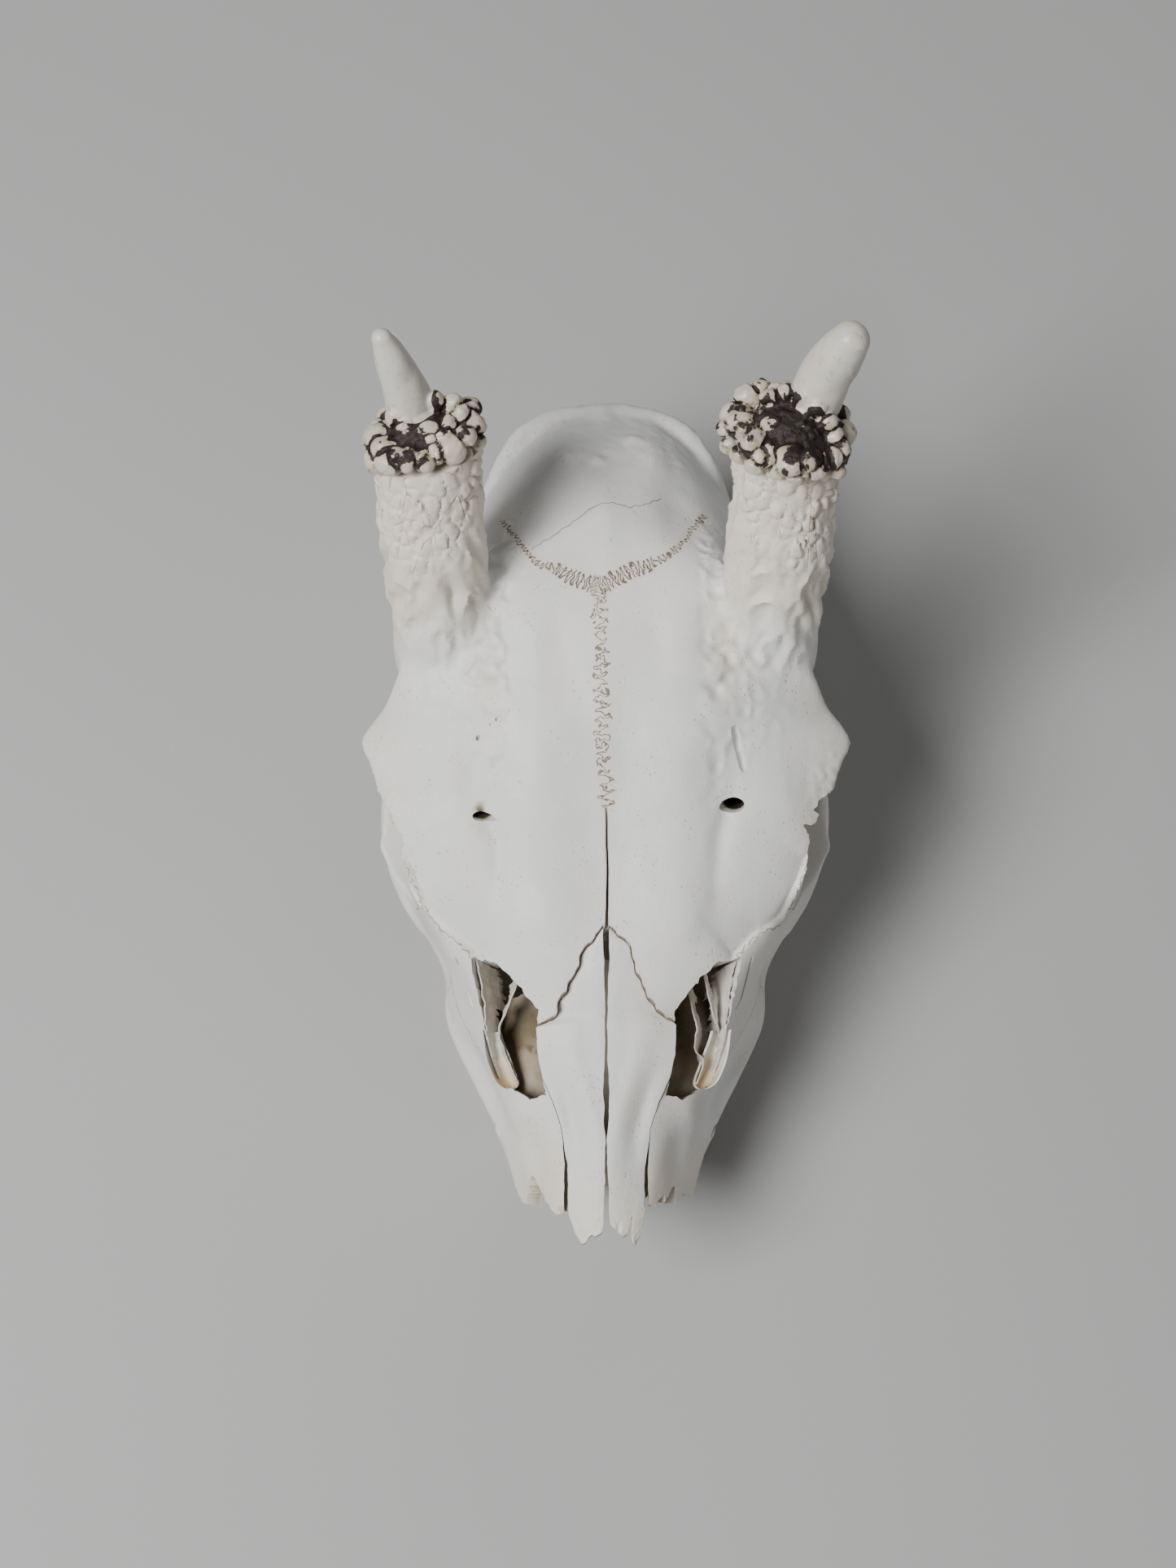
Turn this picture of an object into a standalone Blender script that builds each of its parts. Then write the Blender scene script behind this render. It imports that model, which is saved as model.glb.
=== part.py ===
"""Fallow deer skull with two short antlers, broken off in front of the cheek teeth.

The skull stands on its third molars and on the two spurs beside the occiput. The snout points to -Y and
the occiput to +Y. Left and right are the animal's own, so its left side lies towards +X. The origin lies
on the table under the middle of the bounding box. Design values are in millimetres and become metres when
a mesh is made.
"""

import math

import bmesh
import bpy
import numpy as np
from mathutils import Matrix, Vector

MM = 0.001
CENTRE_Y = 4.3  # design frame to part frame: half way from nasal tips to condyles
SEAM_GAP = 0.35  # clear space kept between neighbouring bones and around teeth
COARSE_VOXEL = 1.2
FINE_VOXEL = 0.85
CRANIUM_TRIANGLES = 6000
ANTLER_TRIANGLES = 560
NASAL_TRIANGLES = 260

# Half sections of the head, left side, as (x, z) from the top middle round to the bottom middle:
# crown, brow, shield edge, under the edge, side, lower rim, jugal, gum outside, gum inside, palate.
SECTIONS = {
    -92: (
        (0, 51), (5, 50.5), (9, 49), (12, 45), (14.5, 39),
        (17, 33), (19, 27), (16, 22), (10, 20), (0, 19),
    ),
    -82: (
        (0, 55.5), (6, 55), (10.5, 53), (13.5, 48), (16.5, 42),
        (19, 35), (20.8, 28), (18, 21), (11, 19), (0, 20),
    ),
    -74: (
        (0, 59), (6.5, 58.5), (11.5, 56), (15.5, 51), (18.5, 45),
        (21, 38), (23, 29), (21, 20), (14, 18), (0, 21),
    ),
    -66: (
        (0, 63), (8, 62), (13.5, 59), (19, 54), (22, 47),
        (24, 40), (26.3, 30), (25, 19), (15, 16.5), (0, 22),
    ),
    -52: (
        (0, 69.5), (9, 69), (16, 66), (25, 60), (28, 51),
        (30, 42), (32, 33), (28, 17), (17, 15), (0, 23),
    ),
    -40: (
        (0, 74.5), (12, 74), (21, 71), (29.5, 65), (33, 54),
        (35.5, 44), (36.8, 34), (31, 17), (19, 13), (0, 23),
    ),
    -30: (
        (0, 78.5), (17, 78), (32, 71), (37, 66), (38, 56),
        (38.6, 45), (38.8, 37), (33, 19), (20, 12), (0, 24),
    ),
    -18: (
        (0, 82.5), (22, 82), (43, 74), (45, 70), (45, 60),
        (45, 47), (44.6, 39), (35, 20), (21, 11), (0, 24),
    ),
    -6: (
        (0, 86.3), (24, 86), (46.5, 77), (47.5, 72), (49, 58),
        (50.5, 48), (50.5, 41), (36, 20), (22, 10), (0, 24),
    ),
    2: (
        (0, 88.8), (25, 88.5), (50, 77.7), (51, 72.5), (52, 60),
        (53, 48), (52.5, 41), (34, 24), (22, 13), (0, 24),
    ),
    9: (
        (0, 91), (26, 90.5), (52.6, 78.5), (52.2, 74), (47, 62),
        (43, 50), (38, 41), (24, 30), (14, 24), (0, 26),
    ),
    15: (
        (0, 93.3), (27, 92), (54.2, 79), (53, 74), (30, 66),
        (25, 57), (22, 47), (17, 37), (9, 30), (0, 29),
    ),
    22: (
        (0, 95.6), (26, 94), (49.5, 82), (48, 76), (30, 67),
        (26, 57), (23, 46), (17, 36), (9, 29), (0, 28),
    ),
    30: (
        (0, 98), (24, 97), (45.5, 88), (44, 80), (32, 69),
        (28, 58), (24, 45), (17, 34), (9, 27.5), (0, 26.5),
    ),
    40: (
        (0, 100.6), (21, 99.5), (38, 94), (42, 84), (36, 71),
        (32, 57), (26, 43), (18, 32), (9, 26), (0, 25),
    ),
    50: (
        (0, 100.4), (18, 99), (30, 93), (36, 82), (36.5, 69),
        (34, 55), (27, 41), (18, 30), (9, 25), (0, 24),
    ),
    60: (
        (0, 98.4), (14, 97), (25, 91), (32.5, 81), (35.5, 68),
        (34.5, 54), (27.5, 40), (18, 29), (9, 24), (0, 23),
    ),
    75: (
        (0, 92.3), (13, 90.5), (23, 84), (29.5, 74), (33, 62),
        (32, 50), (27, 38), (18, 28), (8, 22), (0, 21),
    ),
    88: (
        (0, 85.5), (12, 84), (19, 79), (24.5, 71), (28.8, 60),
        (29, 48), (25, 36), (16, 27), (7, 21), (0, 20),
    ),
    97: (
        (0, 79), (10, 78), (15.5, 74), (20, 67), (24.5, 58),
        (24, 46), (21, 36), (13, 28), (6, 22), (0, 21),
    ),
    101: (
        (0, 76), (8, 75.5), (14, 73), (18, 66), (20, 57),
        (19, 46), (15, 38), (9, 31), (4, 26), (0, 25),
    ),
}

# Limbs swept along a path: (x, y, z, half width across, half height along the ring), left side.
CHEEK_ARCH = (
    (42.5, -20, 40, 2.2, 3.2), (47.4, -12, 42.2, 2.3, 3.4), (50.6, -3, 43.2, 2.4, 3.6),
    (52.4, 8, 43, 2.2, 3.8), (51.5, 19, 43, 2.2, 4.2), (49, 32, 42.5, 2.0, 4.2),
    (45, 46, 42, 2.2, 4.2), (38, 58, 42, 3.0, 4.6), (29, 66, 43, 4.0, 5.0),
)
EYE_BAR = (
    (50.8, 13, 77, 3.0, 4.0), (51.8, 16.5, 68, 2.2, 3.6), (51.8, 19, 57, 2.1, 3.4), (51, 20, 44, 2.3, 4.4),
)
PEDICLE = (
    (36.5, 34, 78, 12, 12), (37.6, 41, 92, 11.6, 11.6), (38.8, 50, 108, 11.9, 11.2),
    (39.0, 57, 119, 11.8, 10.8),
    (38.6, 66, 134, 11.8, 11.2),
)
NUCHAL_CREST = (
    (28, 79, 44, 3.0, 3.4), (29.5, 82, 56, 2.6, 3.2), (26.8, 86.5, 68, 2.2, 3.0),
    (20.8, 95.5, 73, 2.2, 2.8),
    (11.5, 100.3, 74.2, 2.4, 2.8), (0, 101.3, 75, 2.6, 3.0),
)
SPUR = (
    (25, 84, 40, 5.5, 6.5), (26.5, 86, 27, 4.2, 5.6), (26.4, 87, 14, 3.0, 4.6), (25.2, 86, -3, 2.3, 3.4),
)
WING = ((13, 4, 36, 1.8, 6), (13.5, 4, 24, 1.6, 7), (13.5, 10, 15, 1.4, 5))
EAR_TUBE = ((27, 66, 34, 5, 5), (36.5, 64, 37, 4.2, 4.2))

# Rounded lumps: centre and half sizes, left side.
LUMPS = {
    "bulla": ((20, 70, 21), (8, 11, 8)),
    "condyle": ((11.5, 99, 28), (7.6, 5.2, 9.5)),
    "mastoid": ((27, 80, 42), (6, 8, 12)),
    "base": ((0, 66, 26), (13, 34, 8)),
}

# Hollows: centre and half sizes, left side or on the middle.
ORBIT = ((46, -1, 60), (25, 19.5, 15.2))
BRAIN = ((0, 60, 63), (28.5, 35, 28))
THROAT = ((0, 8, 27), (9.5, 25, 11))
FORAMEN_RADII = (9.5, 9.5)
FORAMEN_Z = 37.0

# Half sections of the nose cavity as (x, z): roof, shoulder, upper, middle, lower, corner, floor.
# The roof stays 3 mm under the surface: the nasal seats open it.
NOSE_CAVITY = {
    -97: ((0, 48), (7.0, 46.5), (9.4, 43), (12.2, 37), (14.4, 30), (10, 25), (0, 24.5)),
    -82: ((0, 52.4), (7.4, 50.5), (10.4, 47), (13.6, 41), (16.2, 33), (13, 25), (0, 24.5)),
    -74: ((0, 56), (8.2, 53.5), (12.2, 49.5), (15.6, 44), (18, 36), (15, 26), (0, 25)),
    -66: ((0, 60), (10.0, 57), (15.5, 52.5), (19, 46), (21, 38), (17, 26.5), (0, 26)),
    -52: ((0, 66), (13.0, 63), (21.5, 58), (25, 50.5), (27, 41), (20, 28), (0, 27)),
    -40: ((0, 69.5), (13, 67), (23, 61.5), (27, 52), (28.5, 43), (22, 30), (0, 29)),
    -28: ((0, 70), (12, 67.5), (22, 61), (25, 52), (25, 44), (20, 32), (0, 31)),
    -14: ((0, 64), (7, 62), (11, 56), (12, 50), (11, 44), (8, 36), (0, 35)),
}

# Nasal bone by station: y, medial x, outer x, z at the middle, z at the outer edge.
NASAL = (
    (-31, 0.3, 2.2, 77.4, 77.0), (-36, 0.3, 5.8, 75.3, 74.4), (-41, 0.3, 8.6, 73.4, 72.0),
    (-45.5, 0.3, 12.0, 71.6, 69.5), (-50, 0.3, 15.8, 69.8, 66.8), (-56, 0.3, 15.6, 67.5, 64.6),
    (-61, 0.3, 14.5, 65.6, 62.4), (-66, 0.3, 12.0, 63.6, 60.6), (-72, 0.3, 9.9, 61.2, 58.2),
    (-80, 0.4, 9.2, 58.4, 55.0), (-88, 0.5, 9.4, 55.4, 52.2), (-95.5, 0.6, 8.6, 52.6, 49.6),
)
NASAL_THICKNESS = 2.2
NASAL_NOTCHES = {  # bites out of each nasal's front end as (x, y, half width, depth)
    -1: ((3.2, -95, 1.5, 4.5), (8.6, -94, 1.6, 6.0)),
    1: ((6.0, -95.5, 1.2, 6.5), (1.2, -96, 1.6, 3.5)),
}
NASAL_SEAT = ((-30.6, 0.3, 2.2, 77.6, 77.2),) + NASAL[1:]

# The broken front of the upper jaw on each side, as (y, z) from the top edge down to the palate.
BROKEN_EDGE = {
    -1: (
        (-92, 75), (-91, 52), (-90.3, 48), (-85, 42), (-78.8, 38),
        (-84, 33.5), (-82, 30), (-79.5, 26), (-82, 20),
    ),
    1: (
        (-90, 75), (-89, 52), (-87.6, 48), (-86, 44), (-82, 40.5),
        (-85.5, 38), (-82, 34), (-81, 30), (-78, 22),
    ),
}

# Side windows beside the nasals, as outline points on the left side, with the wall's z there.
WINDOW = (
    (29.5, -35.5, 65), (24.5, -37.3, 69), (19.5, -42.0, 69), (14.9, -47.2, 68), (15.4, -52, 65),
    (15.0, -58, 62), (13.6, -64.6, 59.5), (17, -64.8, 56),
    (21, -62, 53.5), (25, -60.5, 52), (26.8, -54.5, 56),
    (28, -48, 59.5), (29.2, -41, 63),
)

TOOTH_ROW_FRONT = -68.3
TEETH = (  # name, length along the row, width across, lobes, height of the chewing face above the table
    ("premolar_2", 9.2, 7.6, 1, 4.6),
    ("premolar_3", 9.7, 9.4, 1, 3.2),
    ("premolar_4", 9.2, 10.6, 1, 2.0),
    ("molar_1", 12.2, 12.0, 2, 1.2),
    ("molar_2", 13.2, 13.0, 2, 0.5),
    ("molar_3", 13.4, 12.6, 2, 0.0),
)
GUM_AT_FRONT = 17.0
GUM_AT_BACK = 11.2
SOCKET_DEPTH = 4.0

RIGHT_SPIKE = (
    (41.5, 67, 130, 5.8), (42.2, 69, 136, 5.4), (43.9, 71.5, 144, 4.5), (45.8, 73.6, 150.5, 3.5),
    (47.0, 74.6, 154.4, 2.4),
)
LEFT_SPIKE = (
    (43.2, 67.5, 130, 6.2), (44.3, 69.5, 137, 6.0), (46.4, 72, 144, 5.6), (48.6, 73.3, 149.5, 5.2),
    (50.7, 74.4, 154.2, 4.0),
)
CORONET_LEAN = (0.16, 0.44, 0.88)  # the seam's upward direction on the left side
PEDICLE_TOP = (38.6, 62.8, 129.0)


def spline(rows, count):
    """Resample control rows along axis 0 with a Catmull-Rom curve through every row."""
    rows = np.asarray(rows, float)
    padded = np.concatenate([rows[:1] * 2 - rows[1:2], rows, rows[-1:] * 2 - rows[-2:-1]])
    where = np.linspace(0, len(rows) - 1, count)
    index = np.minimum(where.astype(int), len(rows) - 2)
    t = (where - index).reshape((-1,) + (1,) * (rows.ndim - 1))
    p0, p1, p2, p3 = (padded[index + k] for k in range(4))
    return 0.5 * (
        2 * p1
        + (p2 - p0) * t
        + (2 * p0 - 5 * p1 + 4 * p2 - p3) * t**2
        + (3 * p1 - p0 - 3 * p2 + p3) * t**3
    )


def mirrored(path):
    """The same path on the other side."""
    return tuple((-row[0],) + tuple(row[1:]) for row in path)


def skin(bm, rings):
    """Bridge neighbouring rings of points into a tube and close both ends."""
    loops = []
    for ring in rings:
        verts = [bm.verts.new(Vector(point) * MM) for point in ring]
        loops.append([bm.edges.new((verts[i - 1], verts[i])) for i in range(len(verts))])
    for first, second in zip(loops, loops[1:]):
        bmesh.ops.bridge_loops(bm, edges=first + second)
    for loop in (loops[0], loops[-1]):
        bmesh.ops.contextual_create(bm, geom=loop)


def add_limb(bm, path, steps=14, sides=16):
    """Sweep an oval along a path whose rows are x, y, z, half width across, half width the other way."""
    rows = spline(path, steps)
    rings = []
    for i, row in enumerate(rows):
        ahead = Vector(rows[min(i + 1, steps - 1)][:3]) - Vector(rows[max(i - 1, 0)][:3])
        ahead.normalize()
        side = Vector((1, 0, 0)) - ahead * ahead.x
        side.normalize()
        other = ahead.cross(side)
        half = (row[3], row[4] if len(row) > 4 else row[3])
        rings.append([
            Vector(row[:3])
            + side * half[0] * math.cos(a)
            + other * half[1] * math.sin(a)
            for a in np.linspace(0, math.tau, sides, endpoint=False)
        ])
    skin(bm, rings)


def add_lump(bm, centre, half, segments=24):
    """An ellipsoid."""
    matrix = Matrix.Translation(Vector(centre) * MM) @ Matrix.Diagonal((*[h * MM for h in half], 1))
    bmesh.ops.create_uvsphere(bm, u_segments=segments, v_segments=segments // 2, radius=1, matrix=matrix)


def loft(bm, sections, steps, points):
    """Loft through half sections keyed by y, mirrored left to right."""
    stations = np.array(sorted(sections), float)
    halves = np.array([sections[key] for key in sorted(sections)], float)
    fine = spline(np.concatenate([halves.reshape(len(stations), -1), stations[:, None]], axis=1), steps)
    rings = []
    for row in fine:
        half = spline(row[:-1].reshape(-1, 2), points)
        half[:, 0] = np.maximum(half[:, 0], 0)
        half[[0, -1], 0] = 0
        left = half[-2:0:-1] * (-1, 1)
        rings.append([(x, row[-1], z) for x, z in np.concatenate([half, left])])
    skin(bm, rings)


def add_prism(bm, outline, direction, up, down):
    """Extrude an outline of 3-D points both ways along a direction."""
    direction = Vector(direction).normalized()
    ends = (direction * up, direction * -down)
    skin(bm, [[Vector(p) + shift for p in outline] for shift in ends])


def make_object(name, bm, material=None):
    """Turn a bmesh into an object in part coordinates, faces outward."""
    bmesh.ops.translate(bm, verts=bm.verts, vec=(0, -CENTRE_Y * MM, 0))
    bmesh.ops.recalc_face_normals(bm, faces=bm.faces)
    mesh = bpy.data.meshes.new(name)
    bm.to_mesh(mesh)
    bm.free()
    obj = bpy.data.objects.new(name, mesh)
    bpy.context.scene.collection.objects.link(obj)
    if material:
        mesh.materials.append(material)
    return obj


def apply_modifiers(obj):
    """Replace the mesh by its evaluated form, so that later steps work on the result."""
    graph = bpy.context.evaluated_depsgraph_get()
    result = bpy.data.meshes.new_from_object(obj.evaluated_get(graph))
    obj.modifiers.clear()
    old = obj.data
    obj.data = result
    bpy.data.meshes.remove(old)


def fuse(obj, voxel, smoothing):
    """Merge overlapping shells into one skin and soften it."""
    remesh = obj.modifiers.new("fuse", "REMESH")
    remesh.mode = "VOXEL"
    remesh.voxel_size = voxel * MM
    if smoothing:
        soften = obj.modifiers.new("soften", "SMOOTH")
        soften.factor = 0.5
        soften.iterations = smoothing
    apply_modifiers(obj)


def thin_out(obj, triangles):
    """Collapse edges until the mesh has about this many triangles."""
    obj.data.calc_loop_triangles()
    count = len(obj.data.loop_triangles)
    decimate = obj.modifiers.new("thin_out", "DECIMATE")
    decimate.ratio = min(1.0, triangles / count)
    apply_modifiers(obj)


def cut(obj, name, bm, operation="DIFFERENCE"):
    """Cut a hidden shape out of an object, or keep only what lies in it."""
    cutter = make_object(name, bm)
    cutter.hide_render = True
    cutter.display_type = "WIRE"
    boolean = obj.modifiers.new(name, "BOOLEAN")
    boolean.operation = operation
    boolean.object = cutter
    apply_modifiers(obj)


def drop_crumbs(obj):
    """Remove the small loose pieces that a cut can leave, and keep the largest."""
    bm = bmesh.new()
    bm.from_mesh(obj.data)
    unseen = set(bm.verts)
    groups = []
    while unseen:
        front = [unseen.pop()]
        group = list(front)
        while front:
            front = [v for u in front for e in u.link_edges for v in (e.other_vert(u),) if v in unseen]
            front = list(dict.fromkeys(front))
            unseen.difference_update(front)
            group += front
        groups.append(group)
    groups.sort(key=len)
    bmesh.ops.delete(bm, geom=[v for group in groups[:-1] for v in group], context="VERTS")
    bm.to_mesh(obj.data)
    bm.free()


def bone_material(name, colour, roughness):
    """A plain bone finish."""
    material = bpy.data.materials.new(name)
    material.use_nodes = True
    shader = material.node_tree.nodes["Principled BSDF"]
    shader.inputs["Base Color"].default_value = (*colour, 1)
    shader.inputs["Roughness"].default_value = roughness
    shader.inputs["Metallic"].default_value = 0.0
    return material


def seam(side):
    """Middle of the seam between pedicle and antler, and the direction that it faces."""
    x, y, z = CORONET_LEAN
    return Vector((side * PEDICLE_TOP[0], *PEDICLE_TOP[1:])), Vector((side * x, y, z)).normalized()


def axes_along(axis):
    """A turn that carries Z onto an axis, with X kept as near to straight across as it can be."""
    across = Vector((1, 0, 0)) - axis * axis.x
    across.normalize()
    return Matrix((across, axis.cross(across), axis)).transposed().to_4x4()


def slab(bm, low, high):
    """A box between two corners."""
    low, high = np.minimum(low, high), np.maximum(low, high)
    matrix = Matrix.Translation(Vector((low + high) / 2 * MM)) @ Matrix.Diagonal((*((high - low) * MM), 1))
    bmesh.ops.create_cube(bm, size=1, matrix=matrix)


def gum_height(y):
    """Height of the gum edge, which drops from the premolars to the third molar."""
    return np.interp(y, (-68, 0), (GUM_AT_FRONT, GUM_AT_BACK))


def row_centre(y):
    """Distance of the tooth row from the middle, a shallow arch."""
    return np.interp(y, (-68, -52, -36, -18, 0), (20.4, 22.6, 25.2, 27.4, 28.0))


def nasal_ring(y, inner, outer, mid_z, edge_z, side, grow=0.0, deepen=0.0):
    """One cross-section of a nasal bone: an arched strip with square edges.

    grow widens it all round, as a seat needs, and deepen moves its two faces further apart.
    """
    across = np.linspace(0, 1, 6)
    x = inner - grow + (outer - inner + 2 * grow) * across
    top = mid_z + (edge_z - mid_z) * across**1.8
    upper = [(side * a, y, z + grow + deepen) for a, z in zip(x, top)]
    lower = [(side * a, y, z - NASAL_THICKNESS - grow - deepen / 2) for a, z in zip(x[::-1], top[::-1])]
    return upper + lower


def make_nasal(name, side, material):
    """One nasal bone with its splintered front end."""
    bm = bmesh.new()
    skin(bm, [nasal_ring(*row, side) for row in spline(NASAL, 30)])
    obj = make_object(name, bm)
    for i, (x, y, half, depth) in enumerate(NASAL_NOTCHES[side]):
        bm = bmesh.new()
        corners = ((x - half, y - 3), (x, y + depth - 2), (x + half, y - 3))
        outline = [(side * across, along, 60) for across, along in corners]
        add_prism(bm, outline, (0, 0, 1), 10, 25)
        cut(obj, f"{name}_notch_{i}", bm)
    thin_out(obj, NASAL_TRIANGLES)
    obj.data.materials.append(material)
    obj.data.shade_smooth()
    obj.data.set_sharp_from_angle(angle=math.radians(50))
    return obj


def make_antler(name, side, spike, radii, height, lumps, material):
    """Coronet with its ring of lumps and the short spike behind it, flat where it meets the pedicle."""
    bm = bmesh.new()
    top, axis = seam(side)
    turn = axes_along(axis)
    across, front = turn.col[0].to_3d(), turn.col[1].to_3d()
    for level, spread in ((0.42, 0.84), (0.72, 0.62)):
        matrix = Matrix.Translation((top + axis * height * level) * MM) @ turn
        sizes = (radii[0] * spread * MM, radii[1] * spread * MM, height * 0.45 * MM, 1)
        matrix = matrix @ Matrix.Diagonal(sizes)
        bmesh.ops.create_uvsphere(bm, u_segments=24, v_segments=12, radius=1, matrix=matrix)
    for i in range(lumps):
        angle = math.tau * (i + 0.35 * math.sin(3.1 * i)) / lumps
        size = 2.9 + 0.7 * math.sin(2.3 * i + 1.0)
        reach = (radii[0] - size * 0.9, radii[1] - size * 0.9)
        at = top + across * reach[0] * math.cos(angle) + front * reach[1] * math.sin(angle)
        at += axis * (height * 0.45 + 0.9 * math.sin(1.7 * i))
        add_lump(bm, at, (size, size, size * 0.9), 12)
    path = spline([(side * x, y, z, r) for x, y, z, r in spike], 9)
    add_limb(bm, path, steps=9, sides=14)
    add_lump(bm, path[-1][:3], (path[-1][3],) * 3, 14)
    obj = make_object(name, bm)
    fuse(obj, 0.7, 3)
    bm = bmesh.new()
    matrix = Matrix.Translation((top + axis * (SEAM_GAP - 20)) * MM) @ turn
    bmesh.ops.create_cube(bm, size=40 * MM, matrix=matrix)
    cut(obj, f"{name}_seat", bm)
    thin_out(obj, ANTLER_TRIANGLES)
    obj.data.materials.append(material)
    obj.data.shade_smooth()
    return obj


def tooth_outline(length, width, lobes, steps=9):
    """Half outline of a crown seen from below, as distances either side of the row's line."""
    along = np.linspace(-0.5, 0.5, steps)
    bulge = np.cos(math.pi * along) if lobes == 1 else np.abs(np.sin(math.tau * along))
    inner = width / 2 * (0.62 + 0.38 * bulge)
    outer = width / 2 * (0.74 + 0.26 * bulge)
    return along * length, inner, outer


def make_tooth(name, side, front, length, width, lobes, face, material):
    """A cheek tooth: a lobed crown on the table side and a plain root block in its socket."""
    bm = bmesh.new()
    middle = front + length / 2
    along, inner, outer = tooth_outline(length, width, lobes)
    slope = math.atan2(row_centre(middle + 3) - row_centre(middle - 3), 6)
    gum = float(gum_height(middle))
    centre = float(row_centre(middle))
    rings = []
    for z, scale in ((gum + SOCKET_DEPTH - SEAM_GAP - 0.4, 0.8), (gum, 0.96), (gum - 4, 1.0), (face, 0.9)):
        points = [(x * scale, y) for x, y in zip(outer, along)]
        points += [(-x * scale, y) for x, y in zip(inner[::-1], along[::-1])]
        cos, sin = math.cos(slope), math.sin(slope)
        rings.append([
            (side * (centre + x * cos + y * sin), middle - x * sin + y * cos, z)
            for x, y in points
        ])
    skin(bm, rings)
    obj = make_object(name, bm, material)
    obj.data.shade_smooth()
    obj.data.set_sharp_from_angle(angle=math.radians(40))
    return obj


def add_socket(bm, side):
    """The trench that holds one side's teeth."""
    rings = []
    for y in np.linspace(TOOTH_ROW_FRONT - 0.6, TOOTH_ROW_FRONT + sum(t[1] for t in TEETH) + 2.6, 12):
        gum = gum_height(y)
        half = np.interp(y, (-68, -50, -30, 0), (4.4, 5.8, 7.0, 7.2))
        centre = row_centre(y)
        rings.append([
            (side * (centre - half), y, gum + SOCKET_DEPTH),
            (side * (centre + half), y, gum + SOCKET_DEPTH),
            (side * (centre + half), y, gum - 12),
            (side * (centre - half), y, gum - 12),
        ])
    skin(bm, rings)


def make_cranium(material):
    """The fused bones of the head with their hollows, windows and broken edges."""
    bm = bmesh.new()
    loft(bm, SECTIONS, 90, 28)
    for path in (CHEEK_ARCH, EYE_BAR, PEDICLE, NUCHAL_CREST, SPUR, WING, EAR_TUBE):
        add_limb(bm, path)
        add_limb(bm, mirrored(path))
    for centre, half in LUMPS.values():
        add_lump(bm, centre, half)
        if centre[0]:
            add_lump(bm, (-centre[0], *centre[1:]), half)
    obj = make_object("cranium", bm)
    fuse(obj, COARSE_VOXEL, 5)

    bm = bmesh.new()
    add_lump(bm, *ORBIT, segments=40)
    add_lump(bm, (-ORBIT[0][0], *ORBIT[0][1:]), ORBIT[1], segments=40)
    cut(obj, "orbits", bm)

    bm = bmesh.new()
    loft(bm, NOSE_CAVITY, 30, 18)
    cut(obj, "nose_cavity", bm)

    for name, (centre, half) in (("brain_cavity", BRAIN), ("throat", THROAT)):
        bm = bmesh.new()
        add_lump(bm, centre, half, segments=32)
        cut(obj, name, bm)

    bm = bmesh.new()
    add_limb(
        bm,
        [(0, y, FORAMEN_Z + rise, *FORAMEN_RADII) for y, rise in ((80, 3), (95, 0), (112, -4))],
        steps=6,
        sides=24,
    )
    cut(obj, "foramen_magnum", bm)

    for side in (-1, 1):
        bm = bmesh.new()
        add_prism(bm, [(side * x, y, z) for x, y, z in WINDOW], (side * 0.35, -0.1, 1), 9, 9)
        cut(obj, f"window_{side}", bm)

    for side, edge in BROKEN_EDGE.items():
        bm = bmesh.new()
        outline = [(0, -115, 8), (0, -115, 75), *((0, y, z) for y, z in edge), (0, edge[-1][0], 8)]
        add_prism(bm, outline, (side, 0, 0), 40, 0.1)
        cut(obj, f"broken_snout_{side}", bm)

    fuse(obj, FINE_VOXEL, 3)
    thin_out(obj, CRANIUM_TRIANGLES)

    for side in (-1, 1):
        bm = bmesh.new()
        skin(bm, [nasal_ring(*row, side, SEAM_GAP + 0.1, 6.0) for row in spline(NASAL_SEAT, 30)])
        cut(obj, f"nasal_seat_{side}", bm)
        bm = bmesh.new()
        add_socket(bm, side)
        cut(obj, f"socket_{side}", bm)
        bm = bmesh.new()
        top, axis = seam(side)
        matrix = Matrix.Translation((top + axis * 20) * MM) @ axes_along(axis)
        bmesh.ops.create_cube(bm, size=40 * MM, matrix=matrix)
        cut(obj, f"pedicle_face_{side}", bm)
    bm = bmesh.new()
    slab(bm, (-60, 70, -20), (60, 100, 0))
    cut(obj, "table_plane", bm)
    drop_crumbs(obj)
    obj.data.materials.append(material)
    obj.data.shade_smooth()
    obj.data.set_sharp_from_angle(angle=math.radians(50))
    return obj


def main():
    for old in list(bpy.data.objects):
        bpy.data.objects.remove(old)
    bone = bone_material("bone", (0.78, 0.75, 0.69), 0.55)
    enamel = bone_material("enamel", (0.72, 0.66, 0.54), 0.35)
    antler = bone_material("antler", (0.66, 0.60, 0.50), 0.5)
    make_cranium(bone)
    for side, name in ((-1, "right"), (1, "left")):
        make_nasal(f"{name}_nasal", side, bone)
        front = TOOTH_ROW_FRONT
        for tooth, length, width, lobes, face in TEETH:
            make_tooth(f"{name}_{tooth}", side, front, length, width, lobes, face, enamel)
            front += length + SEAM_GAP
    make_antler("right_antler", -1, RIGHT_SPIKE, (13.2, 12.8), 9.0, 13, antler)
    make_antler("left_antler", 1, LEFT_SPIKE, (14.2, 15.2), 11.5, 15, antler)


main()
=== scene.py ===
"""Fallow deer skull: bones, coronets, spikes and cheek teeth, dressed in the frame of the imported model.

Lengths are in millimetres in the design frame, where y runs from the snout (-) to the occiput (+), z is
the height above the table and +x is the animal's own left. A mesh is moved by CENTRE_Y and scaled to
metres when it is made.
"""

import logging
import math
from abc import ABC, abstractmethod
from dataclasses import dataclass
from enum import Enum
from typing import ClassVar

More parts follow.
